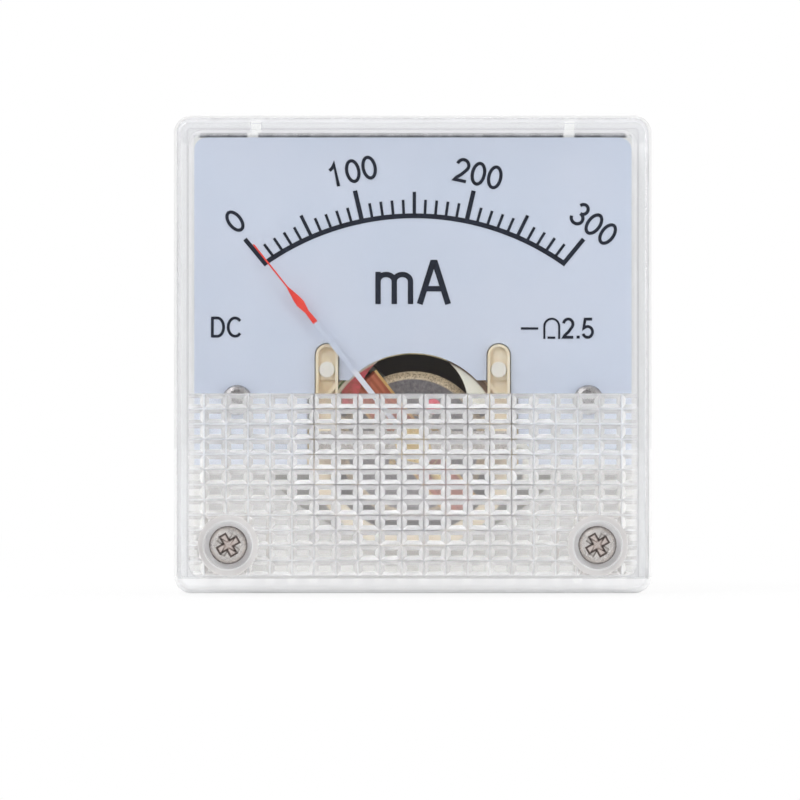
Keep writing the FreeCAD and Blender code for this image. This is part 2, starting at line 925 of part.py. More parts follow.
def cross_recess(body, name, top, length, width, depth):
    recess = Drawing(body, name, offset=top)
    long_half = length / 2
    thin_half = width / 2
    recess.outline([
        (-long_half, -thin_half),
        (-thin_half, -thin_half),
        (-thin_half, -long_half),
        (thin_half, -long_half),
        (thin_half, -thin_half),
        (long_half, -thin_half),
        (long_half, thin_half),
        (thin_half, thin_half),
        (thin_half, long_half),
        (-thin_half, long_half),
        (-thin_half, thin_half),
        (-long_half, thin_half),
    ])

    def make():
        item = feature(body, "Pocket", name + "_cut", recess)
        bind(item, "Length", depth)
        item.TaperAngle = -8
        return item

    change(body, make, False)


def straight_slot(body, name, top, reach, width, depth):
    slot = Drawing(body, name, offset=top)
    slot.box(-reach, -width / 2, reach, width / 2)
    pocket(body, name + "_cut", slot, depth)


def mounting_screws():
    def one(side):
        height = size("screw_head_height")
        length = size("counterbore_floor") + size("screw_tip_behind")
        plain = size("counterbore_floor") + size("screw_thread_start_behind")
        neck_radius = size("screw_neck_radius")
        neck = [
            (size("screw_shank_radius"), plain),
            (neck_radius, plain - (size("screw_shank_radius") - neck_radius)),
            (neck_radius, 0),
        ]
        body = turned_screw("mounting_screw", size("screw_head_radius"), height,
                            size("screw_shank_radius"), length, neck=neck)
        cross_recess(body, "cross", height, size("cross_length"), size("cross_width"), size("cross_depth"))
        across = side * size("screw_across")
        place(body, across, size("counterbore_floor"), -size("screw_down"), size("cross_turn"))
        return body

    return twins(one, "mounting_screws")


def dial_screws():
    def one(side):
        height = size("dial_screw_head_height")
        body = turned_screw("dial_screw", size("dial_screw_head_radius"), height,
                            size("screw_shank_radius"), size("dial_screw_length") + size("dial_thickness"))
        cross_recess(body, "dial_cross", height, size("cross_length") * 0.75, size("cross_width") * 0.8,
                     size("cross_depth") * 0.55)
        place(body, side * size("dial_screw_across"), size("dial_front"), -size("dial_screw_down"), 0.0)
        return body

    return twins(one, "dial_screws")


def small_screw(name):
    height = size("small_head_height")
    body = turned_screw(name, size("small_head_radius"), height, size("small_shank_radius"),
                        size("small_shank_length") + size("bridge_thickness"))
    straight_slot(body, name + "_slot", height, size("small_head_radius") * OVERRUN, size("small_slot_width"),
                  size("small_slot_depth"))
    return body


def front_bridge_screws():
    def one(side):
        body = small_screw("front_bridge_screw")
        forward = size("post_front") + size("bridge_thickness")
        place(body, side * size("ear_across"), forward, -size("pivot_down"), 20.0)
        return body

    return twins(one, "front_bridge_screws")


def rear_bridge_screws():
    """These point forward, so the screw is turned about the upright axis."""

    def one(side):
        body = small_screw("rear_bridge_screw")
        back = size("frame_back") + size("back_bridge_thickness")
        across = side * size("ear_across")
        body.Placement = Placement(Vector(across.number, back.number, -size("pivot_down").number),
                                   Rotation(Vector(0, 0, 1), 180))
        bind(body, "Placement.Base.x", across)
        bind(body, "Placement.Base.y", back)
        bind(body, "Placement.Base.z", -size("pivot_down"))
        return body

    return twins(one, "rear_bridge_screws")


def movement_screws():
    def one(side):
        height = size("movement_head_height")
        body = turned_screw("movement_screw", size("movement_head_radius"), height,
                            size("movement_shank_radius"),
                            size("movement_shank_length") + size("back_bridge_thickness") - size("gap_play"))
        straight_slot(body, "movement_slot", height, size("movement_head_radius") * OVERRUN,
                      size("movement_slot_width"), size("movement_slot_depth"))
        across = side * size("movement_screw_across")
        place(body, across, -size("frame_back"), -size("pivot_down"), size("movement_slot_turn"))
        return body

    return twins(one, "movement_screws")


def hexagon(drawing, across, up, flat):
    """Six-sided outline, flat being the distance from the middle to a side."""
    corner = flat / cosine(30)
    points = []
    for count in range(6):
        turn = 60.0 * count
        points.append((across + corner * cosine(turn), up + corner * sine(turn)))
    drawing.outline(points)


# Magnet core, yoke ring and moulded frame of the movement

def core_magnet():
    body = new_body("core_magnet_body")
    profile = Drawing(body, "core_profile", "XY_Plane")
    radius = size("core_radius")
    cut = size("core_chamfer")
    front = -size("core_front")
    back = size("core_length") - size("core_front")
    profile.outline([
        (0, front),
        (radius - cut, front),
        (radius, front + cut * CHAMFER_SLOPE),
        (radius, back - cut * CHAMFER_SLOPE),
        (radius - cut, back),
        (0, back),
    ])
    turned(body, "core_turning", profile)
    place(body, 0, 0, -size("pivot_down"))
    return keep(body, "core_magnet")


def yoke_ring():
    """Soft-iron ring rolled from strip, with its butt seam at the bottom."""
    body = new_body("yoke_ring_body")
    profile = Drawing(body, "yoke_profile", "XY_Plane")
    inner = size("yoke_inner_radius")
    outer = inner + size("yoke_wall")
    cut = size("yoke_chamfer")
    front = -size("yoke_front")
    back = size("yoke_length") - size("yoke_front")
    profile.outline([
        (inner, front),
        (outer - cut, front),
        (outer, front + cut),
        (outer, back - cut),
        (outer - cut, back),
        (inner, back),
    ])
    turned(body, "yoke_turning", profile)
    seam = Drawing(body, "seam_outline")
    half = size("yoke_seam") / 2
    seam.box(-half, -(outer + cut), half, -(inner - cut))
    through(body, "seam", seam)
    place(body, 0, 0, -size("pivot_down"))
    return keep(body, "yoke_ring")


def movement_frame():
    """One moulding: arms in the magnet's gap, wide ends before and behind the yoke, ears, arch."""
    body = new_body("movement_frame_body")
    down = -size("pivot_down")
    yoke_front = size("yoke_front")
    yoke_back = size("yoke_length") - yoke_front
    play = size("gap_play")
    arms = Drawing(body, "arm_outline", offset=-yoke_back - play)
    inner = size("core_radius") + play
    outer = size("yoke_inner_radius") - play
    half_angle = size("arm_half_angle")
    for middle in (90, -90):
        arms.ring_sector(down, inner, outer, middle - half_angle, middle + half_angle)
    pad(body, "arms", arms, yoke_front + yoke_back + play * 2)
    arch = Drawing(body, "arch_outline", offset=yoke_front + play)
    turn = size("arch_end_angle")
    arch.ring_sector(down, size("arch_inner_radius"), size("arch_outer_radius"), turn, 360 - turn)
    pad(body, "arch", arch, size("arch_thickness"))
    frame_blocks(body, down, yoke_front + play, yoke_back + play)
    frame_ears(body, down, yoke_front + play)
    frame_shoulders(body, down, yoke_front + play)
    return keep(body, "movement_frame")


def frame_shoulders(body, down, seat):
    """Two crescents behind the dial, which leave a round window over the core."""
    window = size("shoulder_window_radius")
    outer = size("shoulder_outer_radius")
    middle = down + size("shoulder_window_rise")
    foot = down + size("shoulder_foot_rise")
    tip = size("shoulder_tip_across")
    shape = Drawing(body, "shoulder_outline", offset=seat)
    for side in (-1, 1):
        shape.outline([
            (side * beside(window, foot - middle), foot),
            (side * beside(outer, foot - down), foot, outer, side),
            (side * tip, down + beside(outer, tip)),
            (side * tip, middle + beside(window, tip), window, -side),
        ])
    pad(body, "shoulders", shape, size("shoulder_thickness"))


def beside(radius, away):
    """How far a point of a circle lies beside its middle, at that distance from it the other way."""
    return root(radius * radius - away * away)


def frame_blocks(body, down, front_seat, back_seat):
    """Wide ends of the arms and the posts that carry the front bridge."""
    left = size("block_inner")
    right = size("ear_across") + size("ear_half_width")
    tall = size("block_half_height")
    post = size("post_half_height")
    rear = Drawing(body, "rear_block_outline", offset=-size("frame_back"))
    front = Drawing(body, "front_post_outline", offset=front_seat)
    for side in (-1, 1):
        rear.box(side * left, down - tall, side * right, down + tall)
        front.box(side * left, down - post, side * right, down + post)
    pad(body, "rear_blocks", rear, size("frame_back") - back_seat + size("gap_play") / 2)
    pad(body, "front_posts", front, size("post_front") - front_seat)
    pilots = Drawing(body, "bridge_pilots")
    for side in (-1, 1):
        pilots.circle(side * size("ear_across"), down, size("small_shank_radius") + size("gap_play"))
    through(body, "pilots", pilots)


def frame_ears(body, down, seat):
    across = size("ear_across")
    half = size("ear_half_width")
    front = size("ear_front")
    low = down + size("post_half_height") - size("gap_play")
    rise = size("ear_round_up")
    rim = size("ear_rim")
    slab = Drawing(body, "ear_outline", offset=seat)
    sink = Drawing(body, "ear_sink_outline", offset=front)
    step = Drawing(body, "ear_step_outline", offset=front)
    stud = Drawing(body, "ear_stud_outline", offset=seat)
    rib = Drawing(body, "ear_rib_outline", offset=seat)
    step_up = -size("ear_step_down")
    for side in (-1, 1):
        slab.slot_up(side * across, low, rise, half)
        sink.slot_up(side * across, step_up, rise, half - rim)
        step.box(side * across - (half - rim), low + rim, side * across + (half - rim), step_up)
        stud.circle(side * across, -size("ear_stud_down"), size("ear_stud_radius"))
        inward = side * (across - half)
        outward = side * (across + half * 0.2)
        rib.outline([
            (inward, step_up),
            (inward, step_up - rim * 2),
            (outward, step_up - half * 1.4 - rim * 2),
            (outward, step_up - half * 1.4),
        ])
    pad(body, "ears", slab, front - seat)
    pocket(body, "ear_hollow", sink, size("ear_sink"))
    pocket(body, "ear_step", step, size("ear_sink") + size("ear_step_sink"))
    pad(body, "ear_studs", stud, front - seat - size("ear_sink") + size("ear_stud_height"))
    pad(body, "ear_ribs", rib, front - seat - size("gap_play"))


# Moving coil

def to_pivot(body):
    """The loop is drawn lying along X, the pointer upright: both turn to the zero mark."""
    return place(body, 0, 0, -size("pivot_down"), -size("rest_angle"))


def coil_former():
    body = new_body("coil_former_body")
    front, back = size("coil_front_inner"), size("coil_back_inner")
    sheet = size("former_sheet")
    wide = Drawing(body, "former_outline", "YZ_Plane")
    reach = size("coil_inner_reach")
    wide.box(-(front + sheet), -(reach + sheet), back + sheet, reach + sheet)
    wide.box(-front, -reach, back, reach)

    def make():
        item = feature(body, "Pad", "former", wide)
        bind(item, "Length", size("coil_width"))
        item.Midplane = True
        return item

    change(body, make, True)
    cheeks = Drawing(body, "cheek_outline", "YZ_Plane", size("winding_width") / 2)
    lip = size("winding_thickness") * CHEEK_SHARE
    cheeks.box(-(front + sheet + lip), -(reach + sheet + lip), back + sheet + lip, reach + sheet + lip)
    cheeks.box(-front, -reach, back, reach)
    pad(body, "right_cheek", cheeks, (size("coil_width") - size("winding_width")) / 2)
    other = Drawing(body, "other_cheek_outline", "YZ_Plane", -size("coil_width") / 2)
    other.box(-(front + sheet + lip), -(reach + sheet + lip), back + sheet + lip, reach + sheet + lip)
    other.box(-front, -reach, back, reach)
    pad(body, "left_cheek", other, (size("coil_width") - size("winding_width")) / 2)
    to_pivot(body)
    return keep(body, "coil_former")


def coil_winding():
    body = new_body("coil_winding_body")
    sheet = size("former_sheet")
    front = size("coil_front_inner") + sheet
    back = size("coil_back_inner") + sheet
    reach = size("coil_inner_reach") + sheet
    thick = size("winding_thickness")
    loop = Drawing(body, "winding_outline", "YZ_Plane")
    loop.soft_box(-(front + thick), -(reach + thick), back + thick, reach + thick, thick)
    loop.box(-front, -reach, back, reach)

    def make():
        item = feature(body, "Pad", "winding", loop)
        bind(item, "Length", size("winding_width"))
        item.Midplane = True
        return item

    change(body, make, True)
    to_pivot(body)
    return keep(body, "coil_winding")


def staff(name, start, tip, with_collar, spring_back):
    """Steel staff with a foot glued to the coil, a collar, a spring collet and a cone point."""
    body = new_body(name + "_body")
    profile = Drawing(body, name + "_profile", "XY_Plane")
    radius = size("staff_radius")
    foot = size("staff_foot_radius")
    collet = size("collet_radius")
    spring = size("spring_height")
    points = [
        (0, start),
        (foot, start),
        (foot, start + size("staff_foot_height")),
        (radius, start + size("staff_foot_height")),
    ]
    if with_collar:
        seat = size("pointer_front") - size("pointer_thickness")
        collar = size("staff_collar_radius")
        points += [
            (radius, seat - size("staff_collar_height")),
            (collar, seat - size("staff_collar_height")),
            (collar, seat),
            (radius, seat),
        ]
    points += [
        (radius, spring_back),
        (collet, spring_back),
        (collet, spring_back + spring),
        (radius * NECK_SHARE, spring_back + spring),
        (radius * NECK_SHARE, tip - size("staff_cone")),
        (size("staff_point_radius"), tip),
        (0, tip),
    ]
    profile.outline(points)
    turned(body, name + "_turning", profile)
    return body


def front_staff():
    start = size("coil_front_inner") + size("former_sheet") + size("winding_thickness")
    body = staff("front_staff", start, size("front_staff_tip"), True, size("front_spring_back"))
    stand(body, True)
    return keep(body, "front_staff")


def rear_staff():
    start = size("coil_back_inner") + size("former_sheet") + size("winding_thickness")
    collet = size("back_spring_back") - size("spring_height")
    body = staff("rear_staff", start, size("back_staff_tip"), False, collet)
    stand(body, False)
    return keep(body, "rear_staff")


def stand(body, faces_forward):
    """A staff is drawn along +Y from the coil outward. The front one is turned to point to -Y."""
    turn = 180 if faces_forward else 0
    body.Placement = Placement(Vector(0, 0, -size("pivot_down").number), Rotation(Vector(0, 0, 1), turn))
    bind(body, "Placement.Base.z", -size("pivot_down"))
    DOC.recompute()


def pointer():
    body = new_body("pointer_body")
    front = size("pointer_front")
    thick = size("pointer_thickness")
    blade = Drawing(body, "blade_outline", offset=front - thick)
    strip = size("strip_half_width")
    needle = size("needle_half_width")
    vane = size("vane_half_width")
    start = size("pointer_hub_radius") / 2
    blade.outline([
        (-strip, start),
        (strip, start),
        (strip, size("strip_end")),
        (strip * STRIP_TAPER, size("vane_start")),
        (vane, size("vane_widest")),
        (vane * VANE_TAPER, size("vane_widest") + needle * 4),
        (needle, size("vane_end")),
        (needle, size("pointer_length") - needle),
        (needle * NEEDLE_TAPER, size("pointer_length")),
        (-needle * NEEDLE_TAPER, size("pointer_length")),
        (-needle, size("pointer_length") - needle),
        (-needle, size("vane_end")),
        (-vane * VANE_TAPER, size("vane_widest") + needle * 4),
        (-vane, size("vane_widest")),
        (-strip * STRIP_TAPER, size("vane_start")),
        (-strip, size("strip_end")),
    ])
    pad(body, "blade", blade, thick)
    hub = Drawing(body, "hub_outline", offset=front - thick)
    hub.circle(0, 0, size("pointer_hub_radius"))
    pad(body, "hub", hub, thick)
    bore = Drawing(body, "hub_bore")
    bore.circle(0, 0, size("pointer_hole_radius"))
    through(body, "bore", bore)
    to_pivot(body)
    return keep(body, "pointer")


def balance_cross():
    body = new_body("balance_cross_body")
    back = size("pointer_front")
    arm = size("balance_arm_half")
    side = size("balance_side_reach")
    tail = size("balance_tail_reach")
    arms = Drawing(body, "arms_outline", offset=back)
    arms.outline([
        (-arm, -tail),
        (arm, -tail),
        (arm, -arm),
        (side, -arm),
        (side, arm),
        (-side, arm),
        (-side, -arm),
        (-arm, -arm),
    ])
    pad(body, "arms", arms, size("balance_thickness"))
    hub = Drawing(body, "cross_hub_outline", offset=back)
    hub.circle(0, 0, size("balance_hub_radius"))
    pad(body, "cross_hub", hub, size("balance_thickness"))
    bore = Drawing(body, "cross_bore")
    bore.circle(0, 0, size("pointer_hole_radius"))
    through(body, "cross_bore_cut", bore)
    to_pivot(body)
    return keep(body, "balance_cross")


def balance_weights():
    """Three small slotted cylinders pushed on the ends of the arms."""
    body = new_body("balance_weights_body")
    middle = size("pointer_front") + size("balance_thickness") / 2
    radius = size("weight_radius")
    length = size("weight_length")
    inset = size("balance_arm_half")
    tail = Drawing(body, "tail_weight_outline", "XY_Plane", -(size("balance_tail_reach") - inset))
    tail.circle(0, -middle, size("tail_weight_radius"))
    pad(body, "tail_weight", tail, size("tail_weight_length"))
    sides = Drawing(body, "side_weight_outline", "YZ_Plane", size("balance_side_reach") - inset - length)
    sides.circle(-middle, 0, radius)
    pad(body, "right_weight", sides, length)
    left = Drawing(body, "left_weight_outline", "YZ_Plane", -(size("balance_side_reach") - inset))
    left.circle(-middle, 0, radius)
    pad(body, "left_weight", left, length)
    arm = size("balance_arm_half") + size("gap_play") / 2
    flat = Drawing(body, "arm_slot_outline", offset=size("pointer_front") - size("gap_play") / 2)
    reach = size("balance_side_reach") + inset
    tail_reach = size("balance_tail_reach") + inset
    flat.outline([
        (-arm, -tail_reach),
        (arm, -tail_reach),
        (arm, -arm),
        (reach, -arm),
        (reach, arm),
        (-reach, arm),
        (-reach, -arm),
        (-arm, -arm),
    ])

    def make():
        item = feature(body, "Pocket", "arm_slot", flat)
        bind(item, "Length", size("balance_thickness") + size("gap_play"))
        item.Reversed = True
        return item

    change(body, make, False)
    to_pivot(body)
    return keep(body, "balance_weights")


def spring_start():
    """Radius of the first half circle, which leaves the collet's side."""
    quarter = (size("spring_pitch") + size("gap_play")) / 4
    return size("collet_radius") + size("spring_ribbon") / 2 + quarter


def spring_reach():
    """Distance from the pivot to the ribbon's outer end."""
    last = spring_start() + size("spring_pitch") / 2 * (SPRING_HALF_TURNS - 1)
    return last + size("spring_pitch") / 4


def hairspring(label, back, turn):
    """Flat ribbon wound in half circles about two centres, each half circle one half pitch wider."""
    pitch = size("spring_pitch").number
    half = size("spring_ribbon").number / 2
    start = spring_start().number
    edges = {1: [], -1: []}
    for side in (1, -1):
        for count in range(SPRING_HALF_TURNS):
            radius = start + pitch / 2 * count + half * side
            centre = Vector(pitch / 4 if count % 2 else -pitch / 4, 0, 0)
            first = 0.0 if count % 2 == 0 else math.pi
            middle = first + math.pi / 2
            turns = (first, middle, first + math.pi)
            ends = [centre + Vector(math.cos(turn), 0, math.sin(turn)) * radius for turn in turns]
            edges[side].append(Part.Arc(*ends).toShape())
    outer, inner = edges[1], edges[-1]
    caps = []
    first_ends = (outer[0].Vertexes[0], inner[0].Vertexes[0])
    last_ends = (outer[-1].Vertexes[1], inner[-1].Vertexes[1])
    for pair in (first_ends, last_ends):
        caps.append(Part.LineSegment(pair[0].Point, pair[1].Point).toShape())
    ribbon = Part.Face(Part.Wire(Part.__sortEdges__(outer + inner + caps)))
    item = DOC.addObject("Part::Feature", label + "_ribbon")
    item.Shape = ribbon.extrude(Vector(0, -size("spring_height").number, 0))
    rotation = Rotation(Vector(0, 1, 0), turn)
    item.Placement = Placement(Vector(0, -back.number, -size("pivot_down").number), rotation)
    bind(item, "Placement.Base.z", -size("pivot_down"))
    return keep(item, label)


# Bridges, jewel screws and zero lever

def front_bridge():
    body = new_body("front_bridge_body")
    back = size("post_front")
    thick = size("bridge_thickness")
    long_half = size("bridge_half_length")
    tall_half = size("bridge_half_height")
    bar = Drawing(body, "bar_outline", offset=back)
    bar.soft_box(-long_half, -tall_half, long_half, tall_half, tall_half * CORNER_SHARE)
    pad(body, "bar", bar, thick)
    lobe = Drawing(body, "lobe_outline", offset=back)
    lobe.circle(0, 0, size("bridge_lobe_radius"))
    pad(body, "lobe", lobe, thick)
    pads = Drawing(body, "stop_pad_outline", offset=back)
    pins = Drawing(body, "stop_pin_outline", offset=size("stop_pin_back"))
    reach = size("stop_reach")
    turn = size("stop_angle")
    for side in (-1, 1):
        across = side * reach * sine(turn)
        up = reach * cosine(turn)
        pad_half = size("stop_pad_radius")
        pads.slot_up(across, 0.0, up, pad_half)
        pins.circle(across, up, size("stop_pin_radius"))
    pad(body, "stop_pads", pads, thick)
    pad(body, "stop_pins", pins, back - size("stop_pin_back") + thick / 2)
    holes = Drawing(body, "bridge_holes")
    holes.circle(0, 0, size("jewel_radius") + size("jewel_play"))
    for side in (-1, 1):
        holes.circle(side * size("ear_across"), 0, size("small_shank_radius") + size("gap_play"))
    through(body, "holes", holes)
    place(body, 0, 0, -size("pivot_down"))
    return keep(body, "front_bridge")


def rear_bridge():
    body = new_body("rear_bridge_body")
    seat = size("frame_back")
    thick = size("back_bridge_thickness")
    bar = Drawing(body, "rear_bar_outline", offset=-(seat + thick))
    long_half = size("back_bridge_half_length")
    tall_half = size("back_bridge_half_height")
    bar.soft_box(-long_half, -tall_half, long_half, tall_half, tall_half * END_ROUNDING)
    pad(body, "rear_bar", bar, thick)
    holes = Drawing(body, "rear_bridge_holes")
    holes.circle(0, 0, size("jewel_radius") + size("jewel_play"))
    for side in (-1, 1):
        holes.circle(side * size("ear_across"), 0, size("small_shank_radius") + size("gap_play"))
        bore = size("movement_shank_radius") + size("gap_play")
        holes.circle(side * size("movement_screw_across"), 0, bore)
    through(body, "rear_holes", holes)
    place(body, 0, 0, -size("pivot_down"))
    return keep(body, "rear_bridge")


def jewel(name, label, start, end, faces_forward):
    """Threaded bearing screw: a cone cup in the inner end, a driver slot in the outer end."""
    body = new_body(name + "_body")
    profile = Drawing(body, name + "_profile", "XY_Plane")
    radius = size("jewel_radius")
    profile.outline([
        (0, start + size("jewel_cup_depth")),
        (size("jewel_cup_radius"), start),
        (radius, start),
        (radius, end),
        (0, end),
    ])
    turned(body, name + "_turning", profile)
    slot = Drawing(body, name + "_slot", offset=-end)
    half = size("jewel_slot_width") / 2
    slot.box(-radius * OVERRUN, -half, radius * OVERRUN, half)

    def make():
        item = feature(body, "Pocket", name + "_slot_cut", slot)
        bind(item, "Length", size("jewel_slot_depth"))
        item.Reversed = True
        return item

    change(body, make, False)
    stand(body, faces_forward)
    return keep(body, label)


def lock_nut(name, label, forward):
    body = new_body(name + "_body")
    height = size("lock_nut_height")
    outline = Drawing(body, name + "_outline", offset=forward)
    hexagon(outline, Size.of(0), Size.of(0), size("lock_nut_flat"))
    outline.circle(0, 0, size("jewel_radius") + size("jewel_play"))
    pad(body, name + "_pad", outline, height)
    place(body, 0, 0, -size("pivot_down"), size("lock_nut_turn"))
    return keep(body, label)


def zero_lever():
    """Regulator behind the front bridge: it grips the jewel screw and holds the spring's outer end."""
    body = new_body("zero_lever_body")
    thick = size("lever_thickness")
    back = size("post_front") - thick
    ring = Drawing(body, "lever_ring", offset=back)
    ring.circle(0, 0, size("lever_ring_radius"))
    pad(body, "ring", ring, thick)
    arm = Drawing(body, "lever_arm", offset=back)
    across, up = size("lever_tip_across"), size("lever_tip_up")
    reach = root(across * across + up * up)
    side_across = up / reach * size("lever_half_width")
    side_up = across / reach * size("lever_half_width")
    arm.outline([
        (side_across, -side_up),
        (across + side_across, up - side_up),
        (across - side_across, up + side_up),
        (-side_across, side_up),
    ])
    pad(body, "arm", arm, thick)
    tip = Drawing(body, "lever_tip", offset=back)
    tip.circle(across, up, size("lever_tip_radius"))
    pad(body, "tip", tip, thick)
    lug_arm(body, back, thick, size("front_spring_back"), size("post_front") - size("front_spring_back"))
    bore = Drawing(body, "lever_bore")
    bore.circle(0, 0, size("lever_ring_bore"))
    through(body, "lever_hole", bore)
    place(body, 0, 0, -size("pivot_down"))
    return keep(body, "zero_lever")


def lug_arm(body, arm_start, arm_thick, lug_start, lug_length):
    """Arm to the left with a lug beside the spring's outer end."""
    half = size("lug_width") / 2
    near = spring_reach() + size("spring_ribbon") / 2 + size("gap_play")
    far = near + size("lug_thickness")
    arm = Drawing(body, "lug_arm_outline", offset=arm_start)
    arm.box(-far, -half, 0, half)
    pad(body, "lug_arm", arm, arm_thick)
    lug = Drawing(body, "lug_outline", offset=lug_start)
    lug.box(-far, -half, -near, half)
    pad(body, "lug", lug, lug_length)


def rear_spring_tab():
    """Brass tab on the rear bridge that holds the rear spring's outer end."""
    body = new_body("rear_spring_tab_body")
    thick = size("lever_thickness")
    seat = size("frame_back")
    ring = Drawing(body, "tab_ring", offset=-seat)
    ring.circle(0, 0, size("lever_ring_radius"))
    pad(body, "ring", ring, thick)
    lug_arm(body, -seat, thick, -seat, seat - size("back_spring_back") + size("spring_height"))
    tail = Drawing(body, "tab_tail", offset=-seat)
    tail.slot_up(0.0, 0.0, size("tab_tail_up"), size("lug_width"))
    pad(body, "tail", tail, thick)
    bore = Drawing(body, "tab_bore")
    bore.circle(0, 0, size("lever_ring_bore"))
    through(body, "tab_hole", bore)
    place(body, 0, 0, -size("pivot_down"))
    return keep(body, "rear_spring_tab")


def lacquer_seal():
    """Drop of lacquer that locks the zero lever."""
    body = new_body("lacquer_seal_body")
    profile = Drawing(body, "drop_profile", "XY_Plane")
    radius = size("seal_radius")
    height = size("seal_height")
    profile.outline([
        (0, 0),
        (0, -height),
        (radius * 0.55, -height * 0.82),
        (radius * 0.88, -height * 0.42),
        (radius, 0),
    ])
    turned(body, "drop", profile)
    up = size("lever_tip_up") - size("pivot_down")
    place(body, size("lever_tip_across"), size("post_front"), up)
    return keep(body, "lacquer_seal")


# Terminals at the back

def terminal_studs():
    def one(side):
        body = new_body("terminal_stud_body")
        profile = Drawing(body, "stud_profile", "XY_Plane")
        radius = size("terminal_shank_radius")
        cut = size("terminal_chamfer")
        head_front = size("drum_depth") - size("drum_floor") - size("tag_thickness")
        tip = size("terminal_tip_behind")
        profile.outline([
            (0, head_front),
            (radius, head_front),
            (radius, tip - cut),
            (radius - cut, tip),
            (0, tip),
        ])
        turned(body, "stud", profile)
        head = Drawing(body, "stud_head_outline", offset=-head_front)
        hexagon(head, Size.of(0), Size.of(0), size("terminal_head_flat"))
        pad(body, "stud_head", head, size("terminal_head_height"))
        place(body, side * size("terminal_across"), 0, size("terminal_up"))
        return body

    return twins(one, "terminal_studs")


def terminal_washers():
    def one(side):
        body = new_body("terminal_washer_body")
        rear = size("drum_depth")
        ring = Drawing(body, "washer_outline", offset=-(rear + size("terminal_washer_thickness")))
        ring.circle(0, 0, size("terminal_washer_radius"))
        ring.circle(0, 0, size("terminal_shank_radius") + size("terminal_play"))
        pad(body, "washer", ring, size("terminal_washer_thickness"))
        place(body, side * size("terminal_across"), 0, size("terminal_up"))
        return body

    return twins(one, "terminal_washers")


def terminal_nuts():
    def one(side):
        body = new_body("terminal_nut_body")
        rear = size("drum_depth") + size("terminal_washer_thickness")
        nut = Drawing(body, "nut_outline", offset=-(rear + size("terminal_nut_height")))
        hexagon(nut, Size.of(0), Size.of(0), size("terminal_nut_flat"))
        nut.circle(0, 0, size("terminal_shank_radius") + size("terminal_play"))
        pad(body, "nut", nut, size("terminal_nut_height"))
        place(body, side * size("terminal_across"), 0, size("terminal_up"), size("terminal_nut_turn"))
        return body

    return twins(one, "terminal_nuts")


def solder_tags():
    def one(side):
        body = new_body("solder_tag_body")
        start = -(size("drum_depth") - size("drum_floor"))
        thick = size("tag_thickness")
        ring = Drawing(body, "tag_ring", offset=start)
        ring.circle(0, 0, size("tag_radius"))
        pad(body, "tag_disc", ring, thick)
        tongue = Drawing(body, "tag_tongue", offset=start)
        half = size("tag_half_width")
        tongue.slot_up(0.0, 0.0, size("tag_reach") - half, half)
        pad(body, "tongue", tongue, thick)
        holes = Drawing(body, "tag_holes")
        holes.circle(0, 0, size("terminal_shank_radius") + size("terminal_play"))
        holes.circle(0, size("tag_reach") - half, half / 2)
        through(body, "tag_hole", holes)
        place(body, side * size("terminal_across"), 0, size("terminal_up"))
        return body

    return twins(one, "solder_tags")


def shunt_resistor():
    """Wire-wound spool on stiff leads between the two tags."""
    body = new_body("shunt_resistor_body")
    behind = size("shunt_behind")
    half = size("shunt_half_length")
    cheek = size("shunt_cheek_thickness")
    profile = Drawing(body, "spool_profile", "XY_Plane")
    thin = size("shunt_cheek_radius")
    profile.outline([
        (-half, 0),
        (half, 0),
        (half, thin),
        (half - cheek, thin),
        (half - cheek, size("shunt_radius")),
        (cheek - half, size("shunt_radius")),
        (cheek - half, thin),
        (-half, thin),
    ])
    turned(body, "spool", profile, "H_Axis")
    up = size("terminal_up") + size("tag_reach") - size("tag_half_width")
    place(body, 0, -behind, up)
    return keep(body, "shunt_resistor")


def run_of_wire(label, points, radius, bend):
    """Round wire along straight runs joined by tangent arcs."""
    edges = []
    start = points[0]
    for index in range(1, len(points) - 1):
        corner = points[index]
        into = (corner - start).normalize()
        away = (points[index + 1] - corner).normalize()
        half_turn = into.getAngle(away) / 2
        setback = bend * math.tan(half_turn)
        first = corner - into * setback
        last = corner + away * setback
        bisector = (away - into).normalize()
        centre = corner + bisector * (bend / math.cos(half_turn))
        middle = centre - bisector * bend
        edges.append(Part.LineSegment(start, first).toShape())
        edges.append(Part.Arc(first, middle, last).toShape())
        start = last
    edges.append(Part.LineSegment(start, points[-1]).toShape())
    path = Part.Wire(edges)
    heading = (points[1] - points[0]).normalize()
    section = Part.Wire([Part.Circle(points[0], heading, radius).toShape()])
    tube = path.makePipeShell([section], True, True)
    expected = math.pi * radius * radius * path.Length
    if abs(tube.Volume - expected) > 0.03 * expected:
        raise RuntimeError("{} has a wrong volume".format(label))
    return tube


def shunt_leads():
    """Stiff wires from the spool's ends, bent back to the tags."""
    across = size("terminal_across").number
    up = (size("terminal_up") + size("tag_reach") - size("tag_half_width")).number
    tag_face = (size("drum_depth") - size("drum_floor") - size("tag_thickness")).number
    behind = size("shunt_behind").number
    half = size("shunt_half_length").number
    thin = size("shunt_lead_radius").number
    shapes = []
    for side in (-1, 1):
        points = [
            Vector(side * half, behind, up),
            Vector(side * across, behind, up),
            Vector(side * across, tag_face, up),
        ]
        shapes.append(run_of_wire("shunt lead", points, thin, thin * 3))
    item = DOC.addObject("Part::Feature", "shunt_leads_shape")
    item.Shape = Part.makeCompound(shapes)
    item.Placement = Placement()
    return keep(item, "shunt_leads")


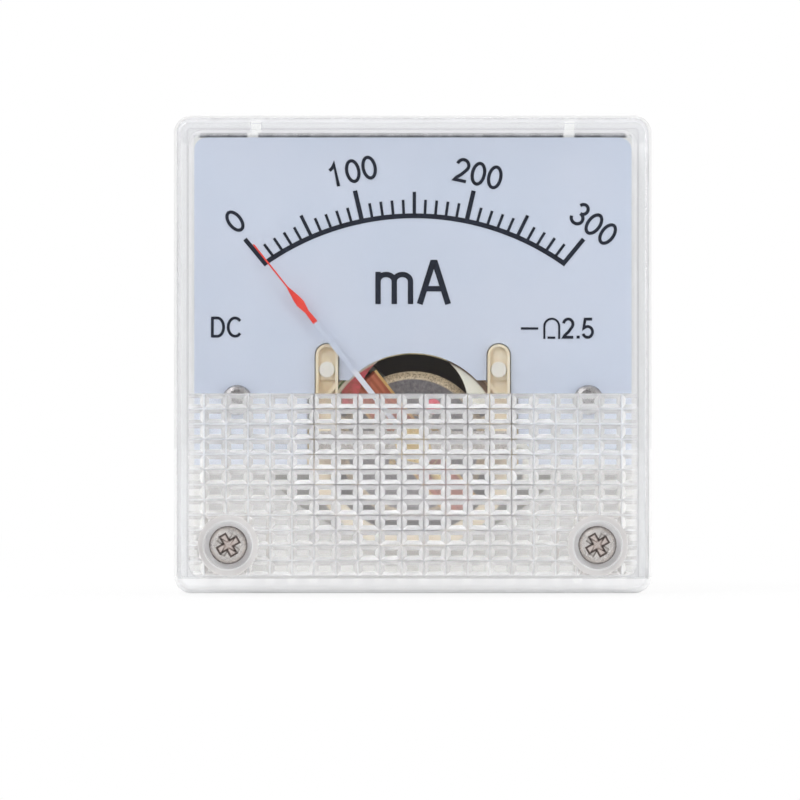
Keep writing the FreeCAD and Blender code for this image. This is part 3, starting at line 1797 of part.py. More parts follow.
def lead_wires():
    """Insulated wires: one to the front bridge's end, one to the rear spring's tab."""
    across = size("terminal_across").number
    tag_face = (size("drum_depth") - size("drum_floor") - size("tag_thickness")).number
    tag_up = (size("terminal_up") + size("tag_reach") / 2).number + size("lead_tag_rise").number
    rise = size("lead_rise").number
    radius = size("lead_radius").number
    down = -size("pivot_down").number
    side_run = size("lead_side_across").number
    low = down - size("lead_dip").number
    front = (size("post_front") + size("bridge_thickness") / 2).number
    end = size("bridge_half_length").number
    to_front = run_of_wire("front lead", [
        Vector(across, tag_face, tag_up),
        Vector(across, tag_face - rise, tag_up),
        Vector(side_run + radius * 3, tag_face / 2, down / 2),
        Vector(side_run + radius * 3, 0, down / 2),
        Vector(side_run, -front / 2, low),
        Vector(side_run, -front, low),
        Vector(side_run, -front, down),
        Vector(end, -front, down),
    ], radius, radius * 2)
    back = size("frame_back").number
    tail_up = down + size("tab_tail_up").number
    to_back = run_of_wire("rear lead", [
        Vector(-across, tag_face, tag_up),
        Vector(-across, tag_face - rise, tag_up),
        Vector(-across / 2, tag_face - rise, down * 0.1),
        Vector(0, back + rise, tail_up),
        Vector(0, back, tail_up),
    ], radius, radius * 3)
    item = DOC.addObject("Part::Feature", "lead_wires_shape")
    item.Shape = Part.makeCompound([to_front, to_back])
    item.Placement = Placement()
    return keep(item, "lead_wires")


def build_all():
    front_cover()
    base_housing()
    dial_plate()
    mounting_screws()
    dial_screws()
    core_magnet()
    yoke_ring()
    movement_frame()
    coil_former()
    coil_winding()
    front_staff()
    rear_staff()
    pointer()
    balance_cross()
    balance_weights()
    hairspring("front_hairspring", size("front_spring_back"), 0)
    hairspring("rear_hairspring", size("spring_height") - size("back_spring_back"), 0)
    front_bridge()
    rear_bridge()
    jewel("front_jewel", "front_jewel_screw", size("jewel_front_start"), size("jewel_front_end"), True)
    jewel("rear_jewel", "rear_jewel_screw", size("jewel_back_start"), size("jewel_back_end"), False)
    forward = size("post_front") + size("bridge_thickness")
    lock_nut("front_nut", "front_lock_nut", forward)
    behind = -(size("frame_back") + size("back_bridge_thickness") + size("lock_nut_height"))
    lock_nut("rear_nut", "rear_lock_nut", behind)
    zero_lever()
    rear_spring_tab()
    lacquer_seal()
    front_bridge_screws()
    rear_bridge_screws()
    movement_screws()
    terminal_studs()
    terminal_washers()
    terminal_nuts()
    solder_tags()
    shunt_resistor()
    shunt_leads()
    lead_wires()


def check_all():
    DOC.recompute()
    for item in DOC.Objects:
        if "Invalid" in item.State or "Error" in item.State:
            raise RuntimeError("{} did not compute".format(item.Name))
    for item in MADE:
        if item.Shape.isNull() or not item.Shape.isValid():
            raise RuntimeError("{} has no valid shape".format(item.Label))
        if not item.Shape.Solids:
            raise RuntimeError("{} is not solid".format(item.Label))


def write_all():
    os.makedirs("parts", exist_ok=True)
    for item in MADE:
        item.Shape.exportStep("parts/{}.step".format(item.Label))


build_all()
check_all()
write_all()
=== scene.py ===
"""Looks of the analog panel meter: finishes, dial print, finer copies of some pieces, light and camera."""
import math

import bmesh
import bpy
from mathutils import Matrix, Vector


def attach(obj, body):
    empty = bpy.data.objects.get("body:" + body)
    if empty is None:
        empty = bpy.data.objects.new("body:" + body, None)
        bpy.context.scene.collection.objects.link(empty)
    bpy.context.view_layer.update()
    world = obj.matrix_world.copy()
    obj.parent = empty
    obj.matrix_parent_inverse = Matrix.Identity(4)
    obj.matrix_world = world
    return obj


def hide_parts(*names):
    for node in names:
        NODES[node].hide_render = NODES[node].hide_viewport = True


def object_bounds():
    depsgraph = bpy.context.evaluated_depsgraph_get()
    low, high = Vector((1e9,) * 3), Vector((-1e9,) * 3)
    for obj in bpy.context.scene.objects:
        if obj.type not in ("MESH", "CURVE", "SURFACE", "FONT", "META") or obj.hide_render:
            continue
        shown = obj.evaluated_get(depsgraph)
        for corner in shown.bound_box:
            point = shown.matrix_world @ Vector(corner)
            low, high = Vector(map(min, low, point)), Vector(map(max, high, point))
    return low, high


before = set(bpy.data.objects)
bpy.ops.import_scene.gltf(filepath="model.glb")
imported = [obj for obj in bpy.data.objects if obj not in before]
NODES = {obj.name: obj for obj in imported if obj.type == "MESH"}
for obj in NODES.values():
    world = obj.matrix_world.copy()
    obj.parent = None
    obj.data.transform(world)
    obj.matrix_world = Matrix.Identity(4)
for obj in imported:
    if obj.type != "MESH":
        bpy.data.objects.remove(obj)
cad_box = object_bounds()

MM = 0.001

# Places and lengths in mm. Seen from the front, x is to the right and z up, from the middle of the face
CASE_HALF, CASE_CORNER = 22.5, 1.6
COVER_FRONT, DIAL_FRONT = 13.0, 7.2  # in front of the panel
PIVOT = (0.0, -8.5)
REST_ANGLE = 38.5  # degrees that the pointer stands to the left of upright
PANEL_SCREWS = ((-17.25, -17.85), (17.25, -17.85))
TERMINALS = ((-9.0, 4.0), (9.0, 4.0))
EAR_HEADS = ((8.05, -1.45), (-8.05, -1.45))
SNAP_SLOTS = (-15.02, 14.66)

# The cover's prism cells: whole columns are middles of cells, and rows count down from the top of the band
COLUMN, ROW, BAND_TOP, CELL_TOP = 2.05, 1.417, -3.7, 11.12


# ---------------------------------------------------------------- materials

def linear(red, green, blue):
    """A colour given in 0 to 255 steps as a linear one."""
    def one(step):
        share = step / 255
        return share / 12.92 if share <= 0.04045 else ((share + 0.055) / 1.055) ** 2.4
    return (one(red), one(green), one(blue), 1.0)


class Graph:
    """A node tree, built up by short calls. Its patterns lie in the given texture coordinate."""

    def __init__(self, tree, coordinate):
        self.tree = tree
        self.tree.nodes.clear()
        self.place = self.node("ShaderNodeTexCoord").outputs[coordinate]

    def node(self, kind, **settings):
        made = self.tree.nodes.new(kind)
        for key, value in settings.items():
            setattr(made, key, value)
        return made

    def join(self, source, target):
        self.tree.links.new(source, target)

    def stretched(self, scale=(1, 1, 1), turn=(0, 0, 0)):
        """The place, turned and scaled."""
        mapping = self.node("ShaderNodeMapping", vector_type="POINT")
        mapping.inputs["Rotation"].default_value = turn
        mapping.inputs["Scale"].default_value = scale
        self.join(self.place, mapping.inputs["Vector"])
        return mapping.outputs["Vector"]

    def noise(self, size_mm, detail=3.0, roughness=0.55, where=None):
        """Noise whose blobs are about size_mm wide."""
        made = self.node("ShaderNodeTexNoise")
        made.inputs["Scale"].default_value = 1000 / size_mm
        made.inputs["Detail"].default_value = detail
        made.inputs["Roughness"].default_value = roughness
        self.join(where or self.place, made.inputs["Vector"])
        return made.outputs["Fac"]

    def ramp(self, value, *stops):
        """Colours by value: stops are (position, colour)."""
        made = self.node("ShaderNodeValToRGB")
        points = made.color_ramp.elements
        while len(points) < len(stops):
            points.new(0.5)
        for point, (position, colour) in zip(points, stops):
            point.position = position
            point.color = colour
        self.join(value, made.inputs["Fac"])
        return made.outputs["Color"]

    def mixed(self, share, first, second):
        """first where share is 0, second where it is 1. Each is a colour or a socket."""
        made = self.node("ShaderNodeMix", data_type="RGBA")
        self.join(share, made.inputs[0])
        for socket, value in ((made.inputs[6], first), (made.inputs[7], second)):
            if isinstance(value, tuple):
                socket.default_value = value
            else:
                self.join(value, socket)
        return made.outputs[2]

    def shaders(self, share, first, second):
        """The first shader where share is 0, the second where it is 1."""
        made = self.node("ShaderNodeMixShader")
        for socket, value in zip(made.inputs, (share, first, second)):
            self.join(value, socket)
        return made.outputs["Shader"]

    def sums(self, operation, *values):
        """A sum of one or two values, each a number or a socket."""
        made = self.node("ShaderNodeMath", operation=operation)
        for socket, value in zip(made.inputs, values):
            if isinstance(value, (int, float)):
                socket.default_value = value
            else:
                self.join(value, socket)
        return made.outputs["Value"]

    def chain(self, operation, first, *others):
        """One operation run through all the values."""
        for other in others:
            first = self.sums(operation, first, other)
        return first

    def length(self, across, up):
        """Length of a flat vector."""
        square = self.sums("ADD", self.sums("MULTIPLY", across, across), self.sums("MULTIPLY", up, up))
        return self.sums("SQRT", square)

    def stepped(self, value, low, high, first=0.0, last=1.0):
        """value between low and high as first to last, held outside."""
        made = self.node("ShaderNodeMapRange", clamp=True)
        for key, number in (("From Min", low), ("From Max", high), ("To Min", first), ("To Max", last)):
            made.inputs[key].default_value = number
        self.join(value, made.inputs["Value"])
        return made.outputs["Result"]

    def over(self, distance, low, high, first=0.0, last=1.0):
        """The same for a distance in metres between two lengths in mm."""
        return self.stepped(distance, low * MM, high * MM, first, last)

    def axes(self):
        made = self.node("ShaderNodeSeparateXYZ")
        self.join(self.place, made.inputs["Vector"])
        return made.outputs


class Finish(Graph):
    """A material with one Principled shader. Distances are in metres, places and sizes given in mm."""

    def __init__(self, name, colour, roughness=0.5, metallic=0.0, **inputs):
        self.material = bpy.data.materials.new(name)
        self.material.use_nodes = True
        super().__init__(self.material.node_tree, "Object")
        self.output = self.node("ShaderNodeOutputMaterial")
        self.shader = self.node("ShaderNodeBsdfPrincipled")
        self.shader.inputs["Base Color"].default_value = colour
        self.shader.inputs["Roughness"].default_value = roughness
        self.shader.inputs["Metallic"].default_value = metallic
        for key, value in inputs.items():
            self.shader.inputs[key.replace("_", " ")].default_value = value
        self.join(self.shader.outputs["BSDF"], self.output.inputs["Surface"])

    def from_point(self, across, up):
        """Steps to the right and up from a line along Y."""
        x, _, z = self.axes()
        return self.sums("SUBTRACT", x, across * MM), self.sums("SUBTRACT", z, up * MM)

    def reach(self, across, up):
        """Distance from a line along Y."""
        return self.length(*self.from_point(across, up))

    def near_points(self, *places):
        """Distance from the nearest of some lines along Y."""
        return self.chain("MINIMUM", *(self.reach(*place) for place in places))

    def inward(self, x, z):
        """Distance inward from the edge of the case, a square with round corners."""
        inner = (CASE_HALF - CASE_CORNER) * MM
        over = [self.sums("SUBTRACT", self.sums("ABSOLUTE", value), inner) for value in (x, z)]
        beyond = [self.sums("MAXIMUM", value, 0.0) for value in over]
        within = self.sums("MINIMUM", self.sums("MAXIMUM", *over), 0.0)
        outward = self.sums("ADD", self.length(*beyond), within)
        return self.sums("SUBTRACT", CASE_CORNER * MM, outward)

    def cross(self, places, turn, half_width, half_length):
        """Distance outward from the edge of the nearest of some crosses."""
        edges = []
        for place in places:
            aside, above = self.from_point(*place)
            arms = []
            for angle in (math.radians(turn), math.radians(turn + 90)):
                along = self.sums("ADD", self.sums("MULTIPLY", aside, math.cos(angle)),
                                  self.sums("MULTIPLY", above, math.sin(angle)))
                arms.append(self.sums("ABSOLUTE", along))
            thin = self.sums("SUBTRACT", self.sums("MINIMUM", *arms), half_width * MM)
            far = self.sums("SUBTRACT", self.sums("MAXIMUM", *arms), half_length * MM)
            edges.append(self.sums("MAXIMUM", thin, far))
        return self.chain("MINIMUM", *edges)

    def tone(self):
        """The socket that gives the colour so far."""
        return self.shader.inputs["Base Color"].links[0].from_socket

    def colour(self, socket):
        self.join(socket, self.shader.inputs["Base Color"])

    def rough(self, value, low, high):
        self.join(self.stepped(value, 0.3, 0.7, low, high), self.shader.inputs["Roughness"])

    def bump(self, height, depth):
        made = self.node("ShaderNodeBump")
        made.inputs["Strength"].default_value = 1.0
        made.inputs["Distance"].default_value = depth * MM
        self.join(height, made.inputs["Height"])
        self.join(made.outputs["Normal"], self.shader.inputs["Normal"])


def mottled(name, first, second, blob, low, high, depth, metallic, grain, **inputs):
    """Two near colours in blobs, uneven gloss and a fine bump."""
    made = Finish(name, first, (low + high) / 2, metallic, **inputs)
    made.colour(made.ramp(made.noise(blob), (0.35, first), (0.65, second)))
    made.rough(made.noise(blob * 0.6, 4.0), low, high)
    made.bump(made.noise(grain, 4.0), depth)
    return made


def clear_cover():
    """Clear moulded styrene, a little milky in the prism band, the bosses and the walls.
    Lamps reach what is behind it."""
    made = Finish("clear_styrene", (0.975, 0.985, 0.99, 1.0), 0.0, IOR=1.57, Transmission_Weight=1.0)
    made.bump(made.noise(4.0, 1.5), 0.004)
    x, y, z = made.axes()
    band = made.chain("MULTIPLY", made.over(z, -3.65, -3.72), made.over(y, -11.6, -11.55),
                      made.over(y, -10.9, -11.0))
    made.join(made.sums("MULTIPLY", band, 0.1), made.shader.inputs["Roughness"])

    # Lines in the valleys between the cells, with painted shade that makes them dark in front of the movement
    across = made.sums("PINGPONG", made.sums("SUBTRACT", x, COLUMN / 2 * MM), COLUMN / 2 * MM)
    down = made.sums("PINGPONG", made.sums("SUBTRACT", z, BAND_TOP * MM), ROW / 2 * MM)
    valley = made.sums("MULTIPLY", made.over(made.sums("MINIMUM", across, down), 0.07, 0.05), band)
    middle = made.sums("MULTIPLY", made.over(made.sums("ABSOLUTE", x), 11.5, 9.5),
                       made.over(z, -19.0, -11.0, 0.35, 1.0))
    line = made.mixed(middle, linear(236, 236, 240), linear(128, 122, 126))

    # Colour of the milk, with painted light: greyer in front of the movement as painted shade, whiter outside it,
    # and warmer below the dial as painted warm reflected light
    outer = made.over(made.reach(0.0, -7.0), 9.5, 13.5)
    beside = made.mixed(made.over(z, -10.5, -9.5, 1.0, 0.0), linear(253, 252, 252), linear(255, 251, 247))
    cells = made.mixed(valley, made.mixed(outer, linear(238, 235, 237), beside), line)
    # Painted shade: a greyer ring of milk round each panel screw, at the wall of its boss
    around = made.near_points(*PANEL_SCREWS)
    rings = made.sums("MULTIPLY", made.over(around, 3.1, 3.0), made.over(around, 2.3, 2.4))
    plain = made.mixed(rings, linear(250, 250, 251), linear(231, 228, 227))
    milk = made.node("ShaderNodeBsdfDiffuse")
    made.join(made.mixed(band, plain, cells), milk.inputs["Color"])

    # Share of the milk in each region
    cell_share = made.sums("MAXIMUM", made.stepped(outer, 0.0, 1.0, 0.12, 0.2),
                           made.over(z, -16.0, -11.0, 0.19, 0.12))
    boss = made.over(around, 2.9, 2.8, 0.0, 0.5)
    sunk = made.sums("MULTIPLY", made.over(around, 2.4, 2.3), made.over(y, -12.5, -12.3, 0.0, 0.92))
    wall = made.over(made.inward(x, z), 2.2, 2.0, 0.0, 0.22)
    lowest = made.over(z, -20.8, -21.0, 0.0, 0.6)
    share = made.chain("MAXIMUM", made.sums("MULTIPLY", band, cell_share), boss, sunk, wall, lowest,
                       made.sums("MULTIPLY", valley, 0.55))
    milky = made.shaders(share, made.shader.outputs["BSDF"], milk.outputs["BSDF"])
    bare = made.node("ShaderNodeBsdfTransparent")
    bare.inputs["Color"].default_value = (0.985, 0.99, 0.995, 1.0)
    shadow = made.node("ShaderNodeLightPath").outputs["Is Shadow Ray"]
    made.join(made.shaders(shadow, milky, bare.outputs["BSDF"]), made.output.inputs["Surface"])
    return made


def dial_enamel():
    """Pale blue enamel with a fine orange peel."""
    made = Finish("dial_enamel", linear(210, 217, 233), 0.55)
    made.colour(made.ramp(made.noise(9.0, 2.0), (0.3, linear(208, 216, 232)), (0.7, linear(213, 219, 234))))
    made.rough(made.noise(2.0), 0.5, 0.62)
    made.bump(made.noise(0.12, 4.0), 0.002)
    return made


def pointer_paint():
    """Pale like the dial near the staff, red from the middle of the blade on."""
    made = Finish("pointer_paint", linear(240, 62, 48), 0.4)
    reach = made.reach(*PIVOT)
    edge = made.sums("ADD", reach, made.sums("MULTIPLY", made.noise(0.15), 0.08 * MM))
    red = made.ramp(made.noise(1.2), (0.3, linear(232, 52, 44)), (0.7, linear(246, 74, 56)))
    pale = made.mixed(made.over(reach, 8.6, 9.1), linear(226, 227, 236), linear(202, 209, 225))
    made.colour(made.mixed(made.over(edge, 14.6, 14.75), pale, red))
    made.rough(made.noise(0.5), 0.3, 0.45)
    made.bump(made.noise(0.1), 0.001)
    return made


def cream_plastic():
    """Frame moulding. Its shoulders behind the dial carry painted reflections and shade: the coil's red-brown at
    the left, pale light at the right, green and brown towards the outer edges. Whiter heads are set by heat on
    the two ears."""
    made = Finish("cream_plastic", linear(226, 208, 168), 0.45, Subsurface_Weight=0.15,
                  Subsurface_Radius=(0.0012, 0.0008, 0.0004), Subsurface_Scale=1.0)
    green, brown = linear(112, 128, 84), linear(124, 100, 82)
    body = made.ramp(made.noise(2.5), (0.3, linear(230, 210, 178)), (0.7, linear(242, 230, 208)))
    x, y, z = made.axes()
    # Painted reflections on the shoulders: the coil's red-brown at the left, pale light at the right, green and
    # brown further out
    shoulder = made.sums("MULTIPLY", made.over(y, -6.8, -6.7), made.over(z, -5.5, -5.4))
    painted_coil_reflection = made.ramp(made.noise(1.3), (0.35, linear(150, 84, 62)), (0.6, linear(214, 92, 98)))
    tones = ((-2.2, painted_coil_reflection), (2.2, linear(252, 247, 230)), (-6.62, green), (6.8, linear(160, 112, 92)))
    for start, tone in tones:
        here = made.over(x, start, start + math.copysign(0.1, start))
        body = made.mixed(made.sums("MULTIPLY", shoulder, here), body, tone)
    # Painted reflection and shade along the outer edge of the shoulders: brown at the right, cream fading to
    # green at the left
    reach = made.reach(*PIVOT)
    rim = made.sums("MULTIPLY", shoulder, made.over(reach, 8.3, 8.45))
    body = made.mixed(made.sums("MULTIPLY", rim, made.over(x, 3.0, 3.1)), body, brown)
    outer = made.ramp(made.over(reach, 8.3, 9.3), (0.34, linear(240, 228, 206)), (0.44, green))
    body = made.mixed(made.sums("MULTIPLY", rim, made.over(x, -3.0, -3.1)), body, outer)
    head = made.over(made.near_points(*EAR_HEADS), 0.68, 0.8, 1.0, 0.0)
    made.colour(made.mixed(head, body, linear(236, 231, 222)))
    made.rough(made.noise(0.8), 0.35, 0.55)
    made.bump(made.noise(0.3, 4.0), 0.008)
    return made


def yoke_chromate():
    """Yellow chromate on iron: gold that turns green and pink in places."""
    made = Finish("yoke_chromate", linear(222, 205, 160), 0.28, 0.9)
    made.colour(made.ramp(
        made.noise(2.6, 2.0, where=made.stretched(scale=(1, 0.5, 1))),
        (0.28, linear(120, 132, 84)),
        (0.42, linear(226, 210, 160)),
        (0.6, linear(238, 226, 190)),
        (0.74, linear(196, 112, 96)),
    ))
    made.rough(made.noise(0.6, 4.0), 0.2, 0.38)
    made.bump(made.noise(0.25, 4.0), 0.004)
    return made


def magnet_alloy():
    """Ground face in grey, speckled sandy edge."""
    made = Finish("magnet_alloy", linear(120, 116, 118), 0.5, 0.3)
    face = made.ramp(made.noise(0.35, 5.0, 0.7), (0.35, linear(104, 100, 104)), (0.65, linear(142, 136, 136)))
    edge = made.ramp(made.noise(0.18, 5.0, 0.8), (0.36, linear(132, 110, 86)), (0.54, linear(232, 214, 184)))
    made.colour(made.mixed(made.over(made.reach(*PIVOT), 6.1, 6.22), face, edge))
    made.rough(made.noise(0.3, 4.0), 0.4, 0.65)
    made.bump(made.noise(0.12, 5.0), 0.01)
    return made


def copper_winding():
    """Fine enamelled turns that lie along the coil's bar."""
    made = Finish("copper_winding", linear(172, 102, 66), 0.35, 0.35)
    wire_width, waves_a_unit = 0.09, 20
    lines = made.node("ShaderNodeTexWave", wave_type="BANDS", bands_direction="X", wave_profile="SIN")
    lines.inputs["Scale"].default_value = 1000 / wire_width / waves_a_unit
    lines.inputs["Distortion"].default_value = 0.6
    lines.inputs["Detail"].default_value = 1.0
    lines.inputs["Detail Scale"].default_value = 0.5
    made.join(made.stretched(turn=(0, math.radians(REST_ANGLE), 0)), lines.inputs["Vector"])
    blotch = made.noise(1.1, 2.0)
    wire = made.ramp(lines.outputs["Fac"], (0.2, linear(168, 90, 62)), (0.7, linear(192, 110, 80)))
    made.colour(made.mixed(made.stepped(blotch, 0.45, 0.7), wire, linear(154, 78, 58)))
    made.rough(blotch, 0.35, 0.55)
    made.bump(lines.outputs["Fac"], 0.008)
    return made


def white_plastic():
    """Base moulding: slightly clear white plastic. It carries painted highlight and shade lines along the cover's
    seat, a painted shade strip above the dial between the snap slots, and painted shade on the floor round the
    magnet."""
    made = mottled("white_plastic", linear(238, 237, 234), linear(244, 243, 241), 5.0, 0.35, 0.5, 0.006, 0.0, 0.5,
                   Subsurface_Weight=0.25, Subsurface_Radius=(0.004, 0.0039, 0.0037), Subsurface_Scale=1.0)
    x, y, z = made.axes()
    # Painted highlight and shade: light and grey lines along the cover's seat stand for the edges of the cover's
    # wall seen through it, and are greyer towards the top as painted shade
    seat = made.sums("MULTIPLY", made.over(y, -2.3, -2.2), made.over(y, -1.8, -1.9))
    lines = made.ramp(
        made.over(made.inward(x, z), 0.0, 2.0),
        (0.05, linear(214, 213, 216)),
        (0.12, linear(232, 231, 234)),
        (0.35, linear(230, 229, 232)),
        (0.38, linear(206, 205, 210)),
        (0.42, linear(252, 252, 253)),
        (0.62, linear(252, 252, 253)),
        (0.66, linear(176, 175, 180)),
        (0.72, linear(240, 239, 240)),
    )
    lines = made.mixed(made.over(z, 19.6, 20.0, 0.0, 0.6), lines, linear(190, 189, 194))
    tone = made.mixed(seat, made.tone(), lines)
    # Painted shade: a dark strip, broken by noise, on the front of the base's raised edge above the dial, where
    # the dial shades it, with gaps at the snap slots
    shade = made.chain("MULTIPLY", made.over(z, 20.3, 20.36), made.over(y, -4.8, -4.9),
                       made.over(made.sums("ABSOLUTE", x), 20.2, 19.9))
    for slot in SNAP_SLOTS:
        beside = made.sums("ABSOLUTE", made.sums("SUBTRACT", x, slot * MM))
        shade = made.sums("MULTIPLY", shade, made.over(beside, 0.4, 0.6))
    blotch = made.ramp(made.noise(0.9, 4.0), (0.3, linear(66, 68, 76)), (0.64, linear(132, 132, 138)))
    tone = made.mixed(shade, tone, blotch)
    # Painted shade: the floor round the magnet is darkened to stand for the shade of the magnet's gap
    painted_gap_shade = made.chain("MULTIPLY", made.over(made.reach(*PIVOT), 9.3, 9.1), made.over(y, 0.0, 0.2),
                     made.over(y, 15.2, 15.0))
    made.colour(made.mixed(painted_gap_shade, tone, linear(128, 116, 106)))
    return made


def screw_nickel():
    """Nickel with painted shade at the head's face: a wider cross with dark edges over each cross recess, and a
    darker band round the head's edge.
    """
    plain, dark = linear(221, 216, 213), linear(90, 80, 77)
    made = mottled("screw_nickel", linear(204, 200, 197), linear(221, 217, 214), 0.7, 0.2, 0.36, 0.006, 1.0, 0.12)
    head = made.over(made.axes()[1], -9.8, -9.9)
    # Painted shade: a wider cross with dark edges over each recess
    edge = made.cross(PANEL_SCREWS, 30.0, 0.34, 1.08)
    outline = made.ramp(made.over(edge, -0.4, 0.4), (0.28, linear(212, 200, 195)), (0.42, dark),
                        (0.54, dark), (0.62, plain))
    tone = made.mixed(made.sums("MULTIPLY", head, made.over(edge, 0.14, 0.1)), made.tone(), outline)
    # Painted shade: a darker band round the edge of each head
    rim = made.sums("MULTIPLY", head, made.over(made.near_points(*PANEL_SCREWS), 1.62, 1.74))
    made.colour(made.mixed(rim, tone, linear(150, 140, 136)))
    return made


# Each finish and the nodes that wear it
WORN = (
    (clear_cover(), ("front_cover",)),
    (white_plastic(), ("base_housing",)),
    (screw_nickel(), ("mounting_screws",)),
    (dial_enamel(), ("dial_plate",)),
    (pointer_paint(), ("pointer",)),
    (cream_plastic(), ("movement_frame",)),
    (yoke_chromate(), ("yoke_ring",)),
    (magnet_alloy(), ("core_magnet",)),
    (copper_winding(), ("coil_winding",)),
    (mottled("nickel_plate", linear(196, 189, 182), linear(212, 206, 200), 0.7, 0.18, 0.34, 0.004, 1.0, 0.12),
     ("front_bridge", "zero_lever", "front_bridge_screws", "rear_bridge_screws", "movement_screws",
      "terminal_nuts", "terminal_washers", "solder_tags")),
    # A darker copy of the nickel, as painted shade on the dial screws behind the dial
    (mottled("nickel_painted_shade", linear(150, 146, 146), linear(184, 180, 178), 0.5, 0.2, 0.36, 0.004, 1.0, 0.12),
     ("dial_screws",)),
    (mottled("brass_parts", linear(206, 176, 112), linear(222, 196, 138), 0.8, 0.24, 0.4, 0.003, 1.0, 0.1),
     ("rear_bridge", "front_jewel_screw", "front_lock_nut", "rear_jewel_screw", "rear_lock_nut",
      "rear_spring_tab", "terminal_studs", "balance_cross", "balance_weights")),
    (mottled("spring_bronze", linear(198, 158, 104), linear(214, 178, 122), 0.5, 0.2, 0.35, 0.002, 1.0, 0.06),
     ("front_hairspring", "rear_hairspring")),
    (mottled("staff_steel", linear(188, 189, 192), linear(202, 203, 206), 0.3, 0.14, 0.28, 0.002, 1.0, 0.05),
     ("front_staff", "rear_staff")),
    (mottled("former_sheet", linear(206, 164, 104), linear(224, 186, 128), 0.9, 0.28, 0.42, 0.003, 1.0, 0.12),
     ("coil_former",)),
    (mottled("red_lacquer", linear(206, 22, 58), linear(220, 34, 66), 0.4, 0.06, 0.16, 0.01, 0.0, 0.5,
             Coat_Weight=0.6),
     ("lacquer_seal",)),
    (mottled("bare_copper", linear(200, 130, 92), linear(214, 148, 108), 0.6, 0.22, 0.36, 0.002, 1.0, 0.1),
     ("shunt_leads",)),
    (mottled("wire_cover", linear(222, 220, 210), linear(230, 228, 220), 0.8, 0.4, 0.55, 0.003, 0.0, 0.2),
     ("lead_wires",)),
    (mottled("shunt_wire", linear(158, 120, 84), linear(176, 138, 98), 0.5, 0.25, 0.4, 0.006, 0.9, 0.1),
     ("shunt_resistor",)),
)
MATERIALS = {name: finish.material for finish, names in WORN for name in names}
for name, node in NODES.items():
    node.data.materials.clear()
    node.data.materials.append(MATERIALS[name])


# ---------------------------------------------------------------- making pieces

def placed(name, data):
    """An object that shows the data, put into the scene."""
    piece = bpy.data.objects.new(name, data)
    bpy.context.scene.collection.objects.link(piece)
    return piece


def mesh_data(name, mesh):
    """The edited mesh as mesh data."""
    data = bpy.data.meshes.new(name)
    mesh.to_mesh(data)
    mesh.free()
    return data


# ---------------------------------------------------------------- dial print

# The print is measured on the front of the cover. The dial lies behind it, so it looks a little smaller there
PRINT_SCALE, PRINT_SHIFT = 0.993, (-0.0084, -0.03)
PRINT_RISE, LAYER_RISE, LAYERS = 0.03, 0.002, 7

ARC_MIDDLE, ARC_RADIUS, ARC_WIDTH, ARC_STEPS = -11.38, 24.23, 0.46, 60
SCALE_ACROSS = 0.15  # middle of the scale
SCALE_ENDS = (-39.5, 39.5)
MARKS = 31
TICKS = ((10, 2.72, 0.42), (5, 2.04, 0.32), (1, 1.3, 0.26))  # every so many marks, length, width

# Text, its middle, the step between its signs, and its tilt
NUMBER_HEIGHT, NUMBER_STROKE, SIGN_HALF = 2.26, 0.31, 0.31
NUMBERS = (
    ("0", -16.78, 12.58, 1.58, -38),
    ("100", -5.66, 17.3, 1.58, -12),
    ("200", 6.2, 17.05, 1.58, 12.5),
    ("300", 17.1, 12.3, 1.6, 36),
)
# Sign, its lower left corner, height, width as a share, stroke
SMALL_SIGNS = (
    ("2", 14.1, 1.5, 1.95, 0.95, 0.27),
    (".", 15.35, 1.5, 1.95, 0.95, 0.3),
    ("5", 15.95, 1.5, 1.95, 0.95, 0.27),
    ("D", -19.1, 1.6, 1.96, 1.0, 0.27),
    ("C", -17.55, 1.6, 1.96, 1.0, 0.27),
)


def arc(centre, radii, first, last, steps):
    """Points on an ellipse between two angles in degrees, 0 to the right and 90 up."""
    points = []
    for step in range(steps + 1):
        angle = math.radians(first + (last - first) * step / steps)
        points.append((centre[0] + radii[0] * math.cos(angle), centre[1] + radii[1] * math.sin(angle)))
    return points


# Strokes of the signs, on a cap height of 1: (points, closed)
STROKES = {
    "0": [(arc((0.31, 0.5), (0.25, 0.44), 0, 342, 19), True)],
    "1": [([(0.06, 0.72), (0.2, 0.8), (0.3, 0.96), (0.3, 0.0)], False)],
    "2": [([*arc((0.31, 0.7), (0.24, 0.245), 172, -32, 12), (0.32, 0.32), (0.14, 0.16), (0.08, 0.06),
            (0.57, 0.06)], False)],
    "3": [(arc((0.3, 0.735), (0.2, 0.21), 165, -90, 14), False),
          (arc((0.3, 0.29), (0.25, 0.235), 90, -168, 16), False)],
    "5": [([(0.53, 0.94), (0.17, 0.94), (0.1, 0.5), *arc((0.3, 0.32), (0.25, 0.265), 128, -160, 16)], False)],
    ".": [([(0.14, 0.0), (0.14, 0.14)], False)],
    "D": [([(0.1, 0.0), (0.1, 1.0)], False),
          ([(0.1, 0.94), (0.32, 0.94), *arc((0.34, 0.5), (0.3, 0.44), 90, -90, 16), (0.1, 0.06)], False)],
    "C": [(arc((0.4, 0.5), (0.33, 0.44), 42, 318, 20), False)],
}


def seen(x, z):
    """A place measured on the front of the cover, as it lies on the dial."""
    return (x * PRINT_SCALE + PRINT_SHIFT[0], z * PRINT_SCALE + PRINT_SHIFT[1])


